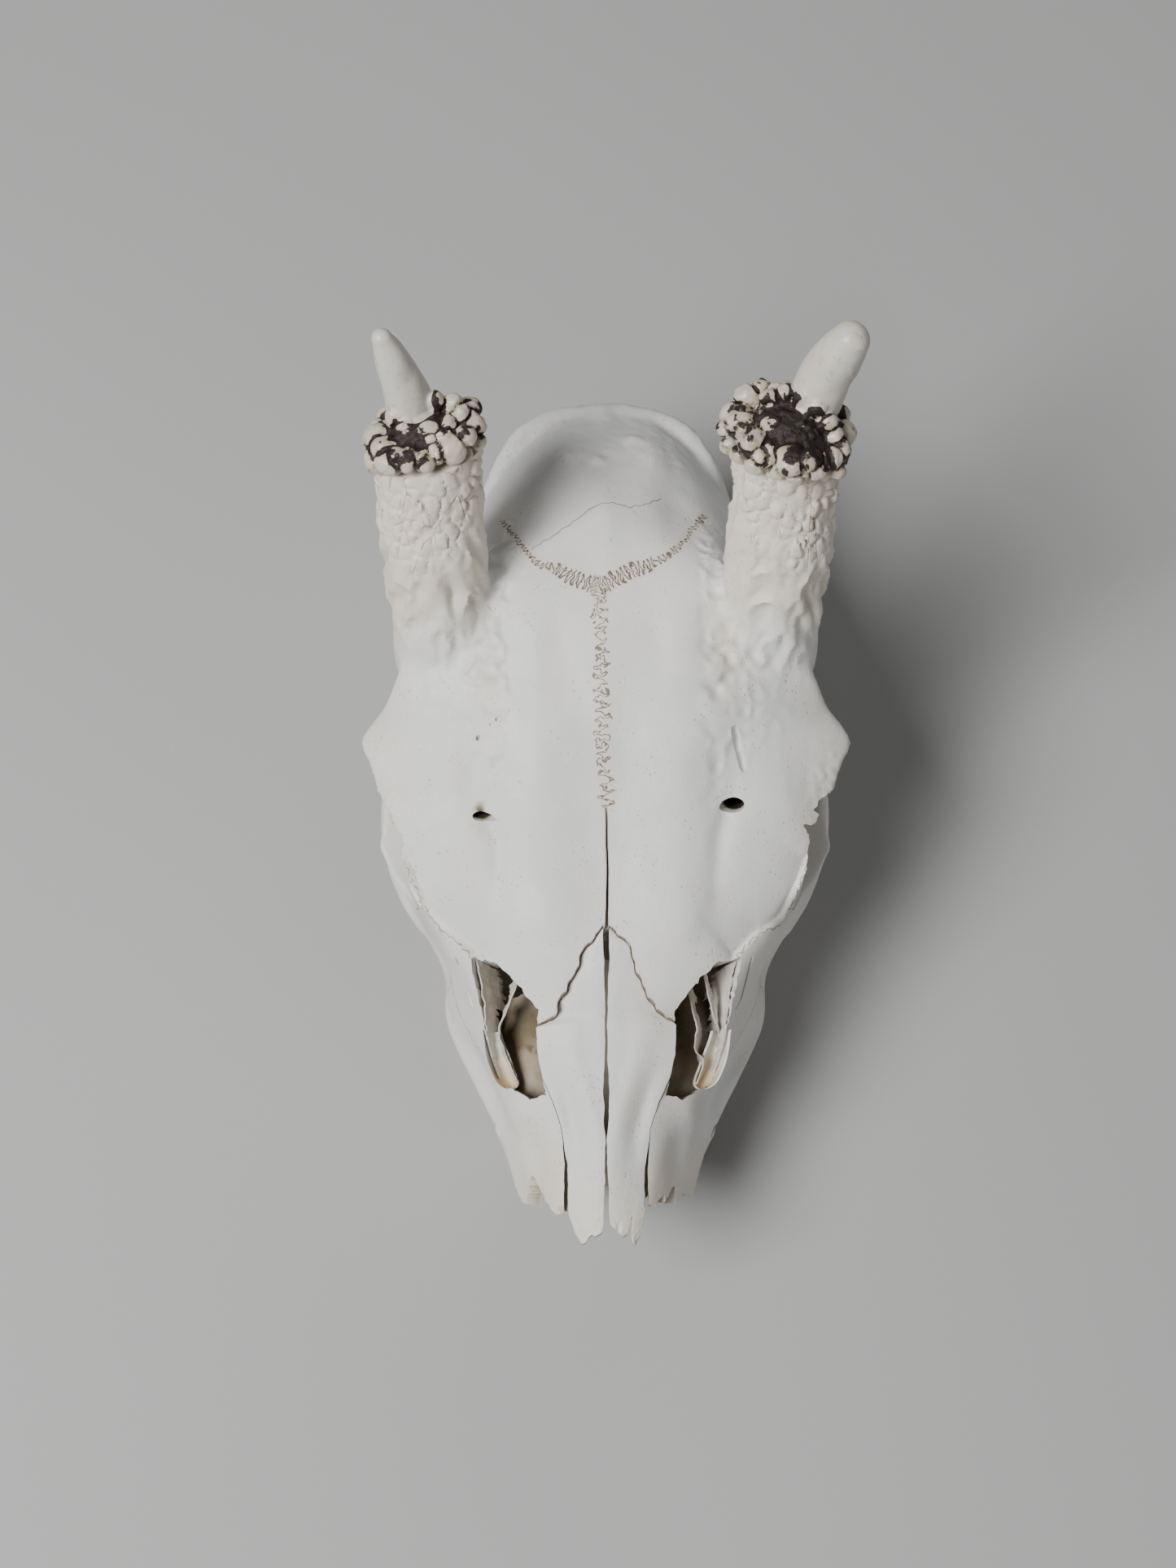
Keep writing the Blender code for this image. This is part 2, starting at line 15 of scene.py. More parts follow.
import bmesh
import bpy
import numpy as np
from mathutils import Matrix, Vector


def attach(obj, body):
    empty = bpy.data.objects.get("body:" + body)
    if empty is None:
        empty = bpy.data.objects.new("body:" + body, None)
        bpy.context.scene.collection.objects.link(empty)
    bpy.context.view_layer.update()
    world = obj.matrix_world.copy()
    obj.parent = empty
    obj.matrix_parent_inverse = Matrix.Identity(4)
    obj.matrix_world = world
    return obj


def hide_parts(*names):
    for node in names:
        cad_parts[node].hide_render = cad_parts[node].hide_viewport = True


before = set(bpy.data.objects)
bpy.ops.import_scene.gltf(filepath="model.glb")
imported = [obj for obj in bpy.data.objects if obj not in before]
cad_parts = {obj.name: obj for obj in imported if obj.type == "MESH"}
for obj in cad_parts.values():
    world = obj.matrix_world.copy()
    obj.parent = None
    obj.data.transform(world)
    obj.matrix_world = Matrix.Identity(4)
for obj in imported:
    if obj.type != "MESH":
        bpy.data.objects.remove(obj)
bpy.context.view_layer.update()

Array = np.ndarray
Row = tuple[float, ...]
Path = tuple[Row, ...]
Colour = tuple[float, float, float, float]
Object = bpy.types.Object
Material = bpy.types.Material
Tree = bpy.types.NodeTree
Node = bpy.types.Node
Socket = bpy.types.NodeSocket
Number = float | Socket

MM = 0.001
CENTRE_Y = 4.3
SHIFT = np.array((0.0, CENTRE_Y, 0.0))

log = logging.getLogger("skull")


class Side(Enum):
    """The animal's own side; the value is the sign of x."""

    RIGHT = -1
    LEFT = 1

    @property
    def label(self) -> str:
        """Word used in node names."""
        return self.name.lower()


# ---- Shape tables: most are the solids' own, the broken edges are drawn more finely ----

# Half sections of the head as x and z in turn: crown, brow, shield edge, under the edge, side, lower rim,
# jugal, gum outside, gum inside, palate.
SECTIONS: dict[float, Row] = {
    -92: (0, 51, 5, 50.5, 9, 49, 12, 45, 14.5, 39, 17, 33, 19, 27, 16, 22, 10, 20, 0, 19),
    -82: (0, 55.5, 6, 55, 10.5, 53, 13.5, 48, 16.5, 42, 19, 35, 20.8, 28, 18, 21, 11, 19, 0, 20),
    -74: (0, 59, 6.5, 58.5, 11.5, 56, 15.5, 51, 18.5, 45, 21, 38, 23, 29, 21, 20, 14, 18, 0, 21),
    -66: (0, 63, 8, 62, 13.5, 59, 19, 54, 22, 47, 24, 40, 26.3, 30, 25, 19, 15, 16.5, 0, 22),
    -52: (0, 69.5, 9, 69, 16, 66, 25, 60, 28, 51, 30, 42, 32, 33, 28, 17, 17, 15, 0, 23),
    -40: (0, 74.5, 12, 74, 21, 71, 29.5, 65, 33, 54, 35.5, 44, 36.8, 34, 31, 17, 19, 13, 0, 23),
    -30: (0, 78.5, 17, 78, 32, 71, 37, 66, 38, 56, 38.6, 45, 38.8, 37, 33, 19, 20, 12, 0, 24),
    -18: (0, 82.5, 22, 82, 43, 74, 45, 70, 45, 60, 45, 47, 44.6, 39, 35, 20, 21, 11, 0, 24),
    -6: (0, 86.3, 24, 86, 46.5, 77, 47.5, 72, 49, 58, 50.5, 48, 50.5, 41, 36, 20, 22, 10, 0, 24),
    2: (0, 88.8, 25, 88.5, 50, 77.7, 51, 72.5, 52, 60, 53, 48, 52.5, 41, 34, 24, 22, 13, 0, 24),
    9: (0, 91, 26, 90.5, 52.6, 78.5, 52.2, 74, 47, 62, 43, 50, 38, 41, 24, 30, 14, 24, 0, 26),
    15: (0, 93.3, 27, 92, 54.2, 79, 53, 74, 30, 66, 25, 57, 22, 47, 17, 37, 9, 30, 0, 29),
    22: (0, 95.6, 26, 94, 49.5, 82, 48, 76, 30, 67, 26, 57, 23, 46, 17, 36, 9, 29, 0, 28),
    30: (0, 98, 24, 97, 45.5, 88, 44, 80, 32, 69, 28, 58, 24, 45, 17, 34, 9, 27.5, 0, 26.5),
    40: (0, 100.6, 21, 99.5, 38, 94, 42, 84, 36, 71, 32, 57, 26, 43, 18, 32, 9, 26, 0, 25),
    50: (0, 100.4, 18, 99, 30, 93, 36, 82, 36.5, 69, 34, 55, 27, 41, 18, 30, 9, 25, 0, 24),
    60: (0, 98.4, 14, 97, 25, 91, 32.5, 81, 35.5, 68, 34.5, 54, 27.5, 40, 18, 29, 9, 24, 0, 23),
    75: (0, 92.3, 13, 90.5, 23, 84, 29.5, 74, 33, 62, 32, 50, 27, 38, 18, 28, 8, 22, 0, 21),
    88: (0, 85.5, 12, 84, 19, 79, 24.5, 71, 28.8, 60, 29, 48, 25, 36, 16, 27, 7, 21, 0, 20),
    97: (0, 79, 10, 78, 15.5, 74, 20, 67, 24.5, 58, 24, 46, 21, 36, 13, 28, 6, 22, 0, 21),
    101: (0, 76, 8, 75.5, 14, 73, 18, 66, 20, 57, 19, 46, 15, 38, 9, 31, 4, 26, 0, 25),
}

# Half sections of the nose cavity as x and z in turn: roof, shoulder, upper, middle, lower, corner, floor.
NOSE_CAVITY: dict[float, Row] = {
    -97: (0, 48, 7, 46.5, 9.4, 43, 12.2, 37, 14.4, 30, 10, 25, 0, 24.5),
    -82: (0, 52.4, 7.4, 50.5, 10.4, 47, 13.6, 41, 16.2, 33, 13, 25, 0, 24.5),
    -74: (0, 56, 8.2, 53.5, 12.2, 49.5, 15.6, 44, 18, 36, 15, 26, 0, 25),
    -66: (0, 60, 10, 57, 15.5, 52.5, 19, 46, 21, 38, 17, 26.5, 0, 26),
    -52: (0, 66, 13, 63, 21.5, 58, 25, 50.5, 27, 41, 20, 28, 0, 27),
    -40: (0, 69.5, 13, 67, 23, 61.5, 27, 52, 28.5, 43, 22, 30, 0, 29),
    -28: (0, 70, 12, 67.5, 22, 61, 25, 52, 25, 44, 20, 32, 0, 31),
    -14: (0, 64, 7, 62, 11, 56, 12, 50, 11, 44, 8, 36, 0, 35),
}

# Limbs swept along a path on the left side: x, y, z, half width across, half height along the ring.
LIMBS: dict[str, Path] = {
    "cheek_arch": (
        (42.5, -20, 40, 2.2, 3.2), (47.4, -12, 42.2, 2.3, 3.4), (50.6, -3, 43.2, 2.4, 3.6),
        (52.4, 8, 43, 2.2, 3.8), (51.5, 19, 43, 2.2, 4.2), (49, 32, 42.5, 2, 4.2),
        (45, 46, 42, 2.2, 4.2), (38, 58, 42, 3, 4.6), (29, 66, 43, 4, 5),
    ),
    "eye_bar": (
        (50.8, 13, 77, 3, 4), (51.8, 16.5, 68, 2.2, 3.6), (51.8, 19, 57, 2.1, 3.4), (51, 20, 44, 2.3, 4.4),
    ),
    "pedicle": (
        (29.5, 22, 58, 3, 5), (33.5, 28, 69, 8.5, 9.5), (36.5, 34, 78, 12, 12), (37.6, 41, 92, 11.6, 11.6),
        (38.8, 50, 108, 11.9, 11.2), (39, 57, 119, 11.8, 10.8), (38.6, 66, 134, 11.8, 11.2),
    ),
    "nuchal_crest": (
        (28, 79, 44, 3, 3.4), (29.5, 82, 56, 2.6, 3.2), (26.8, 86.5, 68, 2.2, 3),
        (20.8, 95.5, 73, 2.2, 2.8), (11.5, 100.3, 74.2, 2.4, 2.8), (0, 101.3, 75, 2.6, 3),
    ),
    "spur": (
        (25, 84, 40, 5.5, 6.5), (26.5, 86, 27, 4.2, 5.6), (26.4, 87, 14, 3, 4.6), (25.2, 86, -3, 2.3, 3.4),
    ),
    "wing": ((13, 4, 36, 1.8, 6), (13.5, 4, 24, 1.6, 7), (13.5, 10, 15, 1.4, 5)),
    "ear_tube": ((27, 66, 34, 5, 5), (36.5, 64, 37, 4.2, 4.2)),
}

# Ellipsoids on the left side or the middle: centre and half sizes.
Ball = tuple[tuple[float, float, float], tuple[float, float, float]]
LUMPS: dict[str, Ball] = {
    "bulla": ((20, 70, 21), (8, 11, 8)),
    "condyle": ((11.5, 99, 28), (7.6, 5.2, 9.5)),
    "mastoid": ((27, 80, 42), (6, 8, 12)),
    "base": ((0, 66, 26), (13, 34, 8)),
}
ORBIT: Ball = ((46, -1, 60), (25, 19.5, 15.2))
BRAIN: Ball = ((0, 60, 63), (28.5, 35, 28))
THROAT: Ball = ((0, 8, 27), (9.5, 25, 11))

# Edge of the open window beside each nasal, on the left side.
WINDOW: Path = (
    (29.5, -34.6, 65), (24.5, -36.3, 69), (19.5, -41.4, 69), (14.9, -47.2, 68), (15.4, -52, 65),
    (15, -58, 62), (13.6, -64.6, 59.5), (17, -64.8, 56), (21, -62, 53.5), (25, -60.5, 52),
    (26.8, -54.5, 56), (28, -48, 59.5), (29.2, -41, 63),
)

# Broken front of the upper jaw as (y, z), from above the surface down to the palate.
SNOUT_BREAK: dict[Side, Path] = {
    Side.RIGHT: (
        (-91, 75), (-89.8, 54), (-87.6, 50), (-88.8, 48.4), (-89.7, 47.6), (-88, 46.5), (-85.8, 45.4),
        (-83.6, 44.5), (-81.4, 43.8), (-79.7, 43), (-80.2, 41.6), (-81.3, 39.8), (-82.6, 37.4),
        (-83.8, 35.2), (-84.6, 34), (-84, 32.2), (-82, 31), (-80.2, 30), (-78.6, 28), (-78.2, 26),
        (-78.8, 24), (-80, 20),
    ),
    Side.LEFT: (
        (-89, 75), (-88.4, 54), (-87.4, 49.6), (-87.6, 48.6), (-85, 47.9), (-84.5, 47.2), (-86.5, 45.9),
        (-84.4, 44.8), (-81.8, 43.6), (-82.4, 42), (-84.8, 40.2), (-85.6, 39.4), (-84.2, 38.2),
        (-82.2, 37), (-82.8, 35), (-82.4, 32.6), (-82, 30.6), (-79.6, 29.2), (-78.2, 27), (-78.6, 24),
        (-77.6, 21),
    ),
}

# Worn upper rim of each orbit as (x, y, z), front to back of what the photograph shows.
ORBIT_RIM: dict[Side, Path] = {
    Side.RIGHT: (
        (-40.7, -24.7, 71.1), (-43.6, -20.3, 72.7), (-46, -14.2, 74.9), (-47.7, -11.7, 75.5),
        (-45.9, -10.5, 75.8), (-46.3, -7.6, 76.5), (-47.2, -8.1, 76.4), (-48.9, -5.7, 76.7),
        (-48.6, -3.8, 77), (-50.6, -1.9, 77.2), (-51.8, -0.9, 77.3), (-51.2, 1.1, 77.5),
        (-52.9, 0.8, 77.5), (-53.8, 3.5, 77.6), (-56, 6, 77.8),
    ),
    Side.LEFT: (
        (39.9, -27.2, 70), (44.5, -21.2, 72.4), (45.8, -14.2, 74.9), (46.4, -8.5, 76.3),
        (44.6, -5.5, 76.8), (47.2, -5.9, 76.7), (48.6, -3.6, 77), (47, -2.5, 77.1),
        (49.2, 0.2, 77.4), (50.9, 1.5, 77.5), (52.8, 2.9, 77.6), (53.8, 5.6, 77.7), (56, 8, 77.8),
    ),
}

# Nasal bone by station: y, medial x, outer x, z at the middle, z at the outer edge.
NASAL: Path = (
    (-31, 0.3, 2.2, 77.4, 77), (-36, 0.3, 5.8, 75.3, 74.4), (-41, 0.3, 8.6, 73.4, 72),
    (-45.5, 0.3, 12, 71.6, 69.5), (-50, 0.3, 15.8, 69.8, 66.8), (-56, 0.3, 15.6, 67.5, 64.6),
    (-61, 0.3, 14.5, 65.6, 62.4), (-66, 0.3, 12, 63.6, 60.6), (-72, 0.3, 9.9, 61.2, 58.2),
    (-80, 0.4, 9.2, 58.4, 55), (-88, 0.5, 9.4, 55.4, 52.2), (-95.5, 0.6, 8.6, 52.6, 49.6),
)

# Jagged rear part of each nasal's outer edge as (y, distance from the middle), back to front.
NASAL_REAR: dict[Side, Path] = {
    Side.RIGHT: (
        (-30.4, 0.9), (-31.4, 1.7), (-33.4, 3), (-34.6, 4.6), (-36.2, 5.8), (-38.2, 6), (-39.9, 6.8),
        (-42.3, 8.5), (-43.7, 8.8), (-45.6, 10.7), (-48, 10.9), (-49.2, 12.2), (-49.8, 14.2), (-50.6, 15.8),
    ),
    Side.LEFT: (
        (-30.4, 0.9), (-31.2, 1.8), (-32.4, 3), (-33.8, 5.1), (-36, 5.6), (-37.6, 6.2), (-39.9, 6.7),
        (-41.4, 7.9), (-42.8, 8.3), (-45.1, 9.5), (-46.4, 10.9), (-47.5, 11.5), (-48.6, 13.4), (-49.6, 15.5),
    ),
}

# Half width of the gap between the nasals, by y.
INNER_GAP: tuple[tuple[float, ...], tuple[float, ...]] = (
    (-95, -88, -82, -76, -70, -64, -58, -50, -42, -36, -30),
    (0.80, 0.62, 0.28, 0.20, 0.48, 0.62, 0.34, 0.22, 0.36, 0.66, 0.70),
)

# Broken front edge of each nasal as (distance from the middle, y).
NASAL_TIPS: dict[Side, Path] = {
    Side.RIGHT: (
        (0, -93.8), (0.8, -94.8), (2.4, -95.1), (3.4, -94.7), (4.2, -95.2), (5.2, -96.6), (6.4, -96.7),
        (7.2, -95.3), (8, -94.2), (8.6, -92.4), (9.4, -90.6), (10.5, -89),
    ),
    Side.LEFT: (
        (0, -92), (0.9, -93.2), (1.8, -93.6), (3, -94.6), (4.2, -95.1), (5.2, -94.7), (5.7, -92.9),
        (6, -91.2), (6.3, -90.8), (6.5, -95.4), (7.2, -96.5), (7.9, -96.7), (8.7, -95.2), (9.2, -92.4),
        (10.5, -89.4),
    ),
}

CORONET_LEAN = (0.16, 0.44, 0.88)
PEDICLE_TOP = (38.6, 62.8, 129.0)
SEAM_GAP = 0.35
SPIKES: dict[Side, Path] = {
    Side.RIGHT: (
        (41.5, 67, 130, 5.8), (42.2, 69, 136, 5.4), (43.9, 71.5, 144, 4.5), (45.8, 73.6, 150.5, 3.5),
        (47, 74.6, 154.4, 2.4),
    ),
    Side.LEFT: (
        (43.2, 67.5, 130, 6.2), (44.3, 69.5, 137, 6), (46.4, 72, 144, 5.6), (48.6, 73.3, 149.5, 5.2),
        (50.7, 74.4, 154.2, 4),
    ),
}
TOOTH_ROW_FRONT = -68.3
TEETH: tuple[tuple[str, float, float, int, float], ...] = (
    ("premolar_2", 9.2, 7.6, 1, 4.6), ("premolar_3", 9.7, 9.4, 1, 3.2), ("premolar_4", 9.2, 10.6, 1, 2.0),
    ("molar_1", 12.2, 12.0, 2, 1.2), ("molar_2", 13.2, 13.0, 2, 0.5), ("molar_3", 13.4, 12.6, 2, 0.0),
)

# Blood-vessel holes of the brow, with half width across and half height.
VESSEL_HOLES: tuple[tuple[str, Path], ...] = (
    ("brow_hole_right", (
        (-25.6, -10.4, 86.6, 1.8, 0.7), (-27, -7.2, 84, 2.5, 0.8), (-28.4, -3.2, 80.9, 2.6, 1.3),
        (-29.5, 1, 75, 2, 1.6),
    )),
    ("brow_hole_left", (
        (27.6, -7.6, 87.2, 2, 1.2), (28.2, -4, 84.2, 2.8, 1.5), (29.2, -0.8, 80.6, 2.6, 1.8),
        (30, 3, 74, 2, 1.8),
    )),
)

# Opening of the nerve canal in the cheek above the second premolar, with half width and half height.
CHEEK_HOLE: Path = (
    (28, -69.5, 31.5, 1.6, 1), (25, -66.5, 32.5, 1.7, 1.2), (22.4, -62, 34, 1.5, 1.2),
    (20.6, -56, 36, 1.3, 1.1),
)

# Sutures and cracks that the photograph shows, as points on the surface.
CORONAL: Path = (
    (-24.2, 65.3, 88.4), (-21.3, 59.5, 93.9), (-18.9, 54, 97.5), (-16.8, 50.9, 98.9), (-14.9, 48.5, 99.6),
    (-11, 47.4, 100.2), (-7.9, 44.9, 100.4), (-3.6, 43.7, 100.6), (-1.4, 42.5, 100.7), (0.8, 44.1, 100.7),
    (4.3, 45.8, 100.5), (6.3, 47.3, 100.3), (9.4, 47.8, 100.2), (11.1, 49, 99.9), (13.9, 51.1, 99.3),
    (17.4, 55.4, 97.6), (20.5, 61.9, 93.1), (23.4, 66.9, 88.2),
)
INTERFRONTAL: Path = (
    (-1.4, 42.5, 100.7), (-1.6, 35.4, 99.6), (-0.9, 28.3, 97.5), (-1.3, 21.3, 95.3), (-0.7, 14.4, 93.1),
    (-0.9, 7.5, 90.6), (-0.2, 0.6, 88.4), (-0.1, -5.2, 87),
)
MIDLINE_CRACK: Path = (
    (0, -5.6, 86.3), (0.15, -13.4, 83.9), (0.3, -20.3, 81.7), (0.15, -27.2, 79.4), (0, -34, 76.5),
)
PARIETAL_CRACK: Path = (
    (-16.8, 53.6, 98.3), (-11.4, 57.3, 98.3), (-6.2, 61.5, 97.4), (-2.7, 64.7, 96.4), (2.2, 65.9, 96),
    (5.2, 65, 96.1), (9.3, 66.3, 95.2), (12.6, 68.9, 93.4),
)

# Seams on the sides of the head as (y, z, distance from the middle): temple, cheek arch, tear bone, cheek.
SIDE_SEAMS: tuple[Path, ...] = (
    ((36, 40, 30), (39, 50, 34), (46, 59, 36), (56, 64, 36), (66, 62, 35), (74, 55, 33), (79, 45, 31)),
    ((17, 47, 51), (22, 45, 50), (26, 41.5, 50), (31, 39, 49)),
    ((-16, 56, 45), (-24, 50, 41), (-33, 47, 39), (-42, 45, 35), (-50, 46, 30), (-56, 49, 27)),
    ((-33, 47, 39), (-35, 39, 38), (-29, 33, 40), (-20, 32, 44), (-12, 37, 48)),
    ((88, 26, 25), (84, 38, 30), (80, 50, 31), (81, 60, 30)),
)

# Front edge of each frontal bone over the tear bone, from the orbit to the face window.
BROW_EDGE: dict[Side, Path] = {
    Side.RIGHT: (
        (-46.4, -13, 73.4), (-43.4, -19.4, 71.4), (-40.8, -24.2, 69.4), (-37, -28.6, 68.1),
        (-33, -31.8, 69), (-29.8, -35.2, 68.8),
    ),
    Side.LEFT: (
        (46.2, -13.5, 73.4), (43.2, -21, 70), (40.3, -25.8, 66.5), (37, -28.4, 68),
        (34.3, -29.9, 69.3), (29.6, -35, 69.4),
    ),
}

# Broad forms: place in two directions, half widths in both and height. The upper side over distance from
# the middle and y, the back of the head over distance from the middle and z, the cheeks over y and z.
BACK_FORMS: Path = (
    (0, 60, 2.2, 11, 1.3), (8.5, 57, 4.5, 8, -1.6), (19, 60, 3, 10, 0.8), (12, 44, 3, 4, -0.8),
    (0, 68, 5, 3, 0.8), (14, 69, 4, 3, -0.7),
)
CHEEK_FORMS: Path = (
    (-44, 33, 16, 2.6, 1.3), (-58, 40, 10, 5, -0.9), (-30, 45, 7, 6, -0.7), (-66, 27, 6, 4, -0.5),
    (36, 52, 8, 9, -0.8), (58, 62, 12, 3, 0.9), (70, 50, 7, 6, -0.7), (66, 74, 12, 4, 0.5),
)
TOP_FORMS: Path = (
    (17.5, -77, 2.6, 6, -0.8), (20.5, -68, 3, 3, 0.5), (13.5, -84, 1.6, 5, 0.35),
    (27, 1, 6.5, 9, -1.3), (25, -16, 4.5, 12, -0.7), (31, 10, 4, 7, -0.4), (14, 8, 7, 26, 0.35),
    (11, 30, 4, 10, -0.55), (0, 18, 3, 22, 0.25), (24, 34, 5, 9, -0.8), (17, 66, 6.5, 11, -1.3),
    (0, 62, 4.5, 9, 0.7), (0, 82, 5, 8, -0.8), (11, 84, 4, 5, 0.7), (40, -4, 6, 10, 0.7),
    (0, -22, 6, 12, -0.3), (16, -26, 7, 9, 0.45),
)

# Names of the stored places along and across a seam, and the place stored where no seam is near.
TRACKS = (
    "coronal", "interfrontal", "parietal_crack", "midline_crack", "nasal_seam", "brow_seam", "side_seams",
)
FAR_OFF = (0.0, 60.0, 60.0)


# ---- Curves, surfaces and fields ----


def spline(rows: Path | Array, count: int) -> Array:
    """Points on a Catmull-Rom curve through every row.

    Args:
        rows: control rows; any number of values each.
        count: how many rows to give back, evenly spaced in row number.

    Returns:
        The resampled rows, the cubic blend of the four nearest control rows.
    """
    rows = np.asarray(rows, float)
    padded = np.concatenate([rows[:1] * 2 - rows[1:2], rows, rows[-1:] * 2 - rows[-2:-1]])
    where = np.linspace(0, len(rows) - 1, count)
    index = np.minimum(where.astype(int), len(rows) - 2)
    t = (where - index).reshape((-1,) + (1,) * (rows.ndim - 1))
    p0, p1, p2, p3 = (padded[index + k] for k in range(4))
    cubic = (3 * p1 - p0 - 3 * p2 + p3) * t**3
    return 0.5 * (2 * p1 + (p2 - p0) * t + (2 * p0 - 5 * p1 + 4 * p2 - p3) * t**2 + cubic)


def mirrored(path: Path | Array, side: Side) -> Array:
    """The path with x turned to the given side."""
    rows = np.array(path, float)
    rows[:, 0] *= side.value
    return rows


def step(low: float | Array, high: float | Array, value: Array) -> Array:
    """Smooth rise from 0 at low to 1 at high: 3t^2 - 2t^3 of the clipped share."""
    t = np.clip((value - low) / (high - low), 0, 1)
    return t * t * (3 - 2 * t)


def bell(*shares: Array) -> Array:
    """exp(-(a^2 + b^2 + ...)) of distances that are given as shares of the bell's half widths."""
    return np.exp(-sum(share**2 for share in shares))


def lattice(cells: Array, seed: int) -> Array:
    """Repeatable number from 0 to 1 for each whole-numbered cell.

    Args:
        cells: whole numbers, last axis 3.
        seed: changes the whole field.

    Returns:
        One number per cell, from an integer hash of the three numbers.
    """
    c = cells.astype(np.int64).astype(np.uint32)
    mixed = c[..., 0] * np.uint32(374761393) + c[..., 1] * np.uint32(668265263)
    mixed = mixed + c[..., 2] * np.uint32(2246822519) + np.uint32((seed * 3266489917) % 2**32)
    mixed = (mixed ^ (mixed >> np.uint32(13))) * np.uint32(1274126177)
    mixed = mixed ^ (mixed >> np.uint32(16))
    return mixed.astype(np.float64) / 4294967295.0


def waves(points: Array, size: float, seed: int, layers: int = 1) -> Array:
    """Soft random unevenness from -1 to 1.

    Each layer blends the lattice numbers at the eight corners round a point with smooth weights; a next
    layer has half the size and half the strength.

    Args:
        points: (n, 3) positions.
        size: lattice spacing of the first layer.
        seed: changes the field.
        layers: how many layers to add up.

    Returns:
        (n,) values.
    """
    total = np.zeros(len(points))
    weight = 0.0
    for layer in range(layers):
        p = points * (2**layer / size)
        base = np.floor(p)
        f = p - base
        w = f * f * (3 - 2 * f)
        value = np.zeros(len(points))
        for corner in np.ndindex(2, 2, 2):
            k = np.array(corner)
            share = np.prod(np.where(k == 1, w, 1 - w), axis=1)
            value += share * lattice(base + k, seed + 17 * layer)
        total += (value * 2 - 1) * 0.5**layer
        weight += 0.5**layer
    return total / weight


def drift(points: Array, size: float, seed: int, layers: int) -> Array:
    """Soft random move of each point, every part from -1 to 1."""
    return np.stack([waves(points, size, seed + k, layers) for k in range(3)], axis=-1)


def pebbles(points: Array, size: float, seed: int) -> tuple[Array, Array, Array]:
    """Cells grown round one jittered point per lattice cube.

    Args:
        points: (n, 3) positions.
        size: lattice spacing.
        seed: changes the field.

    Returns:
        Distance to the nearest cell middle and to the second nearest, both as shares of size, and a
        random number of the nearest cell.
    """
    p = points / size
    base = np.floor(p)
    first = np.full(len(p), 9.0)
    second = np.full(len(p), 9.0)
    shade = np.zeros(len(p))
    for corner in np.ndindex(3, 3, 3):
        cell = base + np.array(corner) - 1
        middle = np.stack([lattice(cell, seed + k) for k in range(3)], axis=-1)
        far = np.linalg.norm(cell + middle - p, axis=1)
        nearer = far < first
        second = np.where(nearer, first, np.minimum(second, far))
        shade = np.where(nearer, lattice(cell, seed + 3), shade)
        first = np.where(nearer, far, first)
    return first, second, shade


@dataclass
class Shell:
    """A closed skin: points (n, 3) and faces as lists of point numbers."""

    points: Array
    faces: list[list[int]]


def tube(rings: Array, strip: bool = False) -> Shell:
    """Skin through rings of points, closed at both ends.

    Args:
        rings: (n, m, 3), n rings of m points each.
        strip: a ring runs along one face of a sheet and back along the other, so that its end is closed
            by quads between the faces and not by a fan to its middle.

    Returns:
        Quads between neighbouring rings and the two ends.
    """
    n, m = rings.shape[:2]
    index = np.arange(n * m).reshape(n, m)
    after = np.roll(index, -1, axis=1)
    quads = np.stack([index[:-1], after[:-1], after[1:], index[1:]], axis=-1).reshape(-1, 4)
    if strip:
        k = np.arange(m // 2 - 1)
        cap = np.stack([k, k + 1, m - 2 - k, m - 1 - k], axis=-1)
        return Shell(rings.reshape(-1, 3), np.concatenate([quads, cap[:, ::-1], cap + (n - 1) * m]).tolist())
    ends = rings[[0, -1]].mean(axis=1)
    low = np.stack([np.full(m, n * m), after[0], index[0]], axis=-1)
    high = np.stack([np.full(m, n * m + 1), index[-1], after[-1]], axis=-1)
    points = np.concatenate([rings.reshape(-1, 3), ends])
    return Shell(points, quads.tolist() + low.tolist() + high.tolist())


def thicken(sheet: Array, half: float | Array) -> Shell:
    """Two faces for a sheet (n, m, 3), each moved out along its normal by half the thickness."""
    normal = np.cross(np.gradient(sheet, axis=0), np.gradient(sheet, axis=1))
    normal *= half / np.linalg.norm(normal, axis=-1, keepdims=True)
    return tube(np.concatenate([sheet + normal, (sheet - normal)[:, ::-1]], axis=1), strip=True)


def prism(outline: Array, direction: tuple[float, float, float], up: float, down: float) -> Shell:
    """An outline carried both ways along a direction, with one flat face at each end.

    Args:
        outline: (n, 3) corner points in order.
        direction: way to carry it; its length doesn't count.
        up: distance along the direction.
        down: distance against it.

    Returns:
        The closed prism.
    """
    n = len(outline)
    way = np.array(direction, float) / np.linalg.norm(direction)
    points = np.concatenate([outline + way * up, outline - way * down])
    index = np.arange(n)
    after = np.roll(index, -1)
    sides = np.stack([index, after, after + n, index + n], axis=-1)
    return Shell(points, sides.tolist() + [index.tolist(), (index[::-1] + n).tolist()])


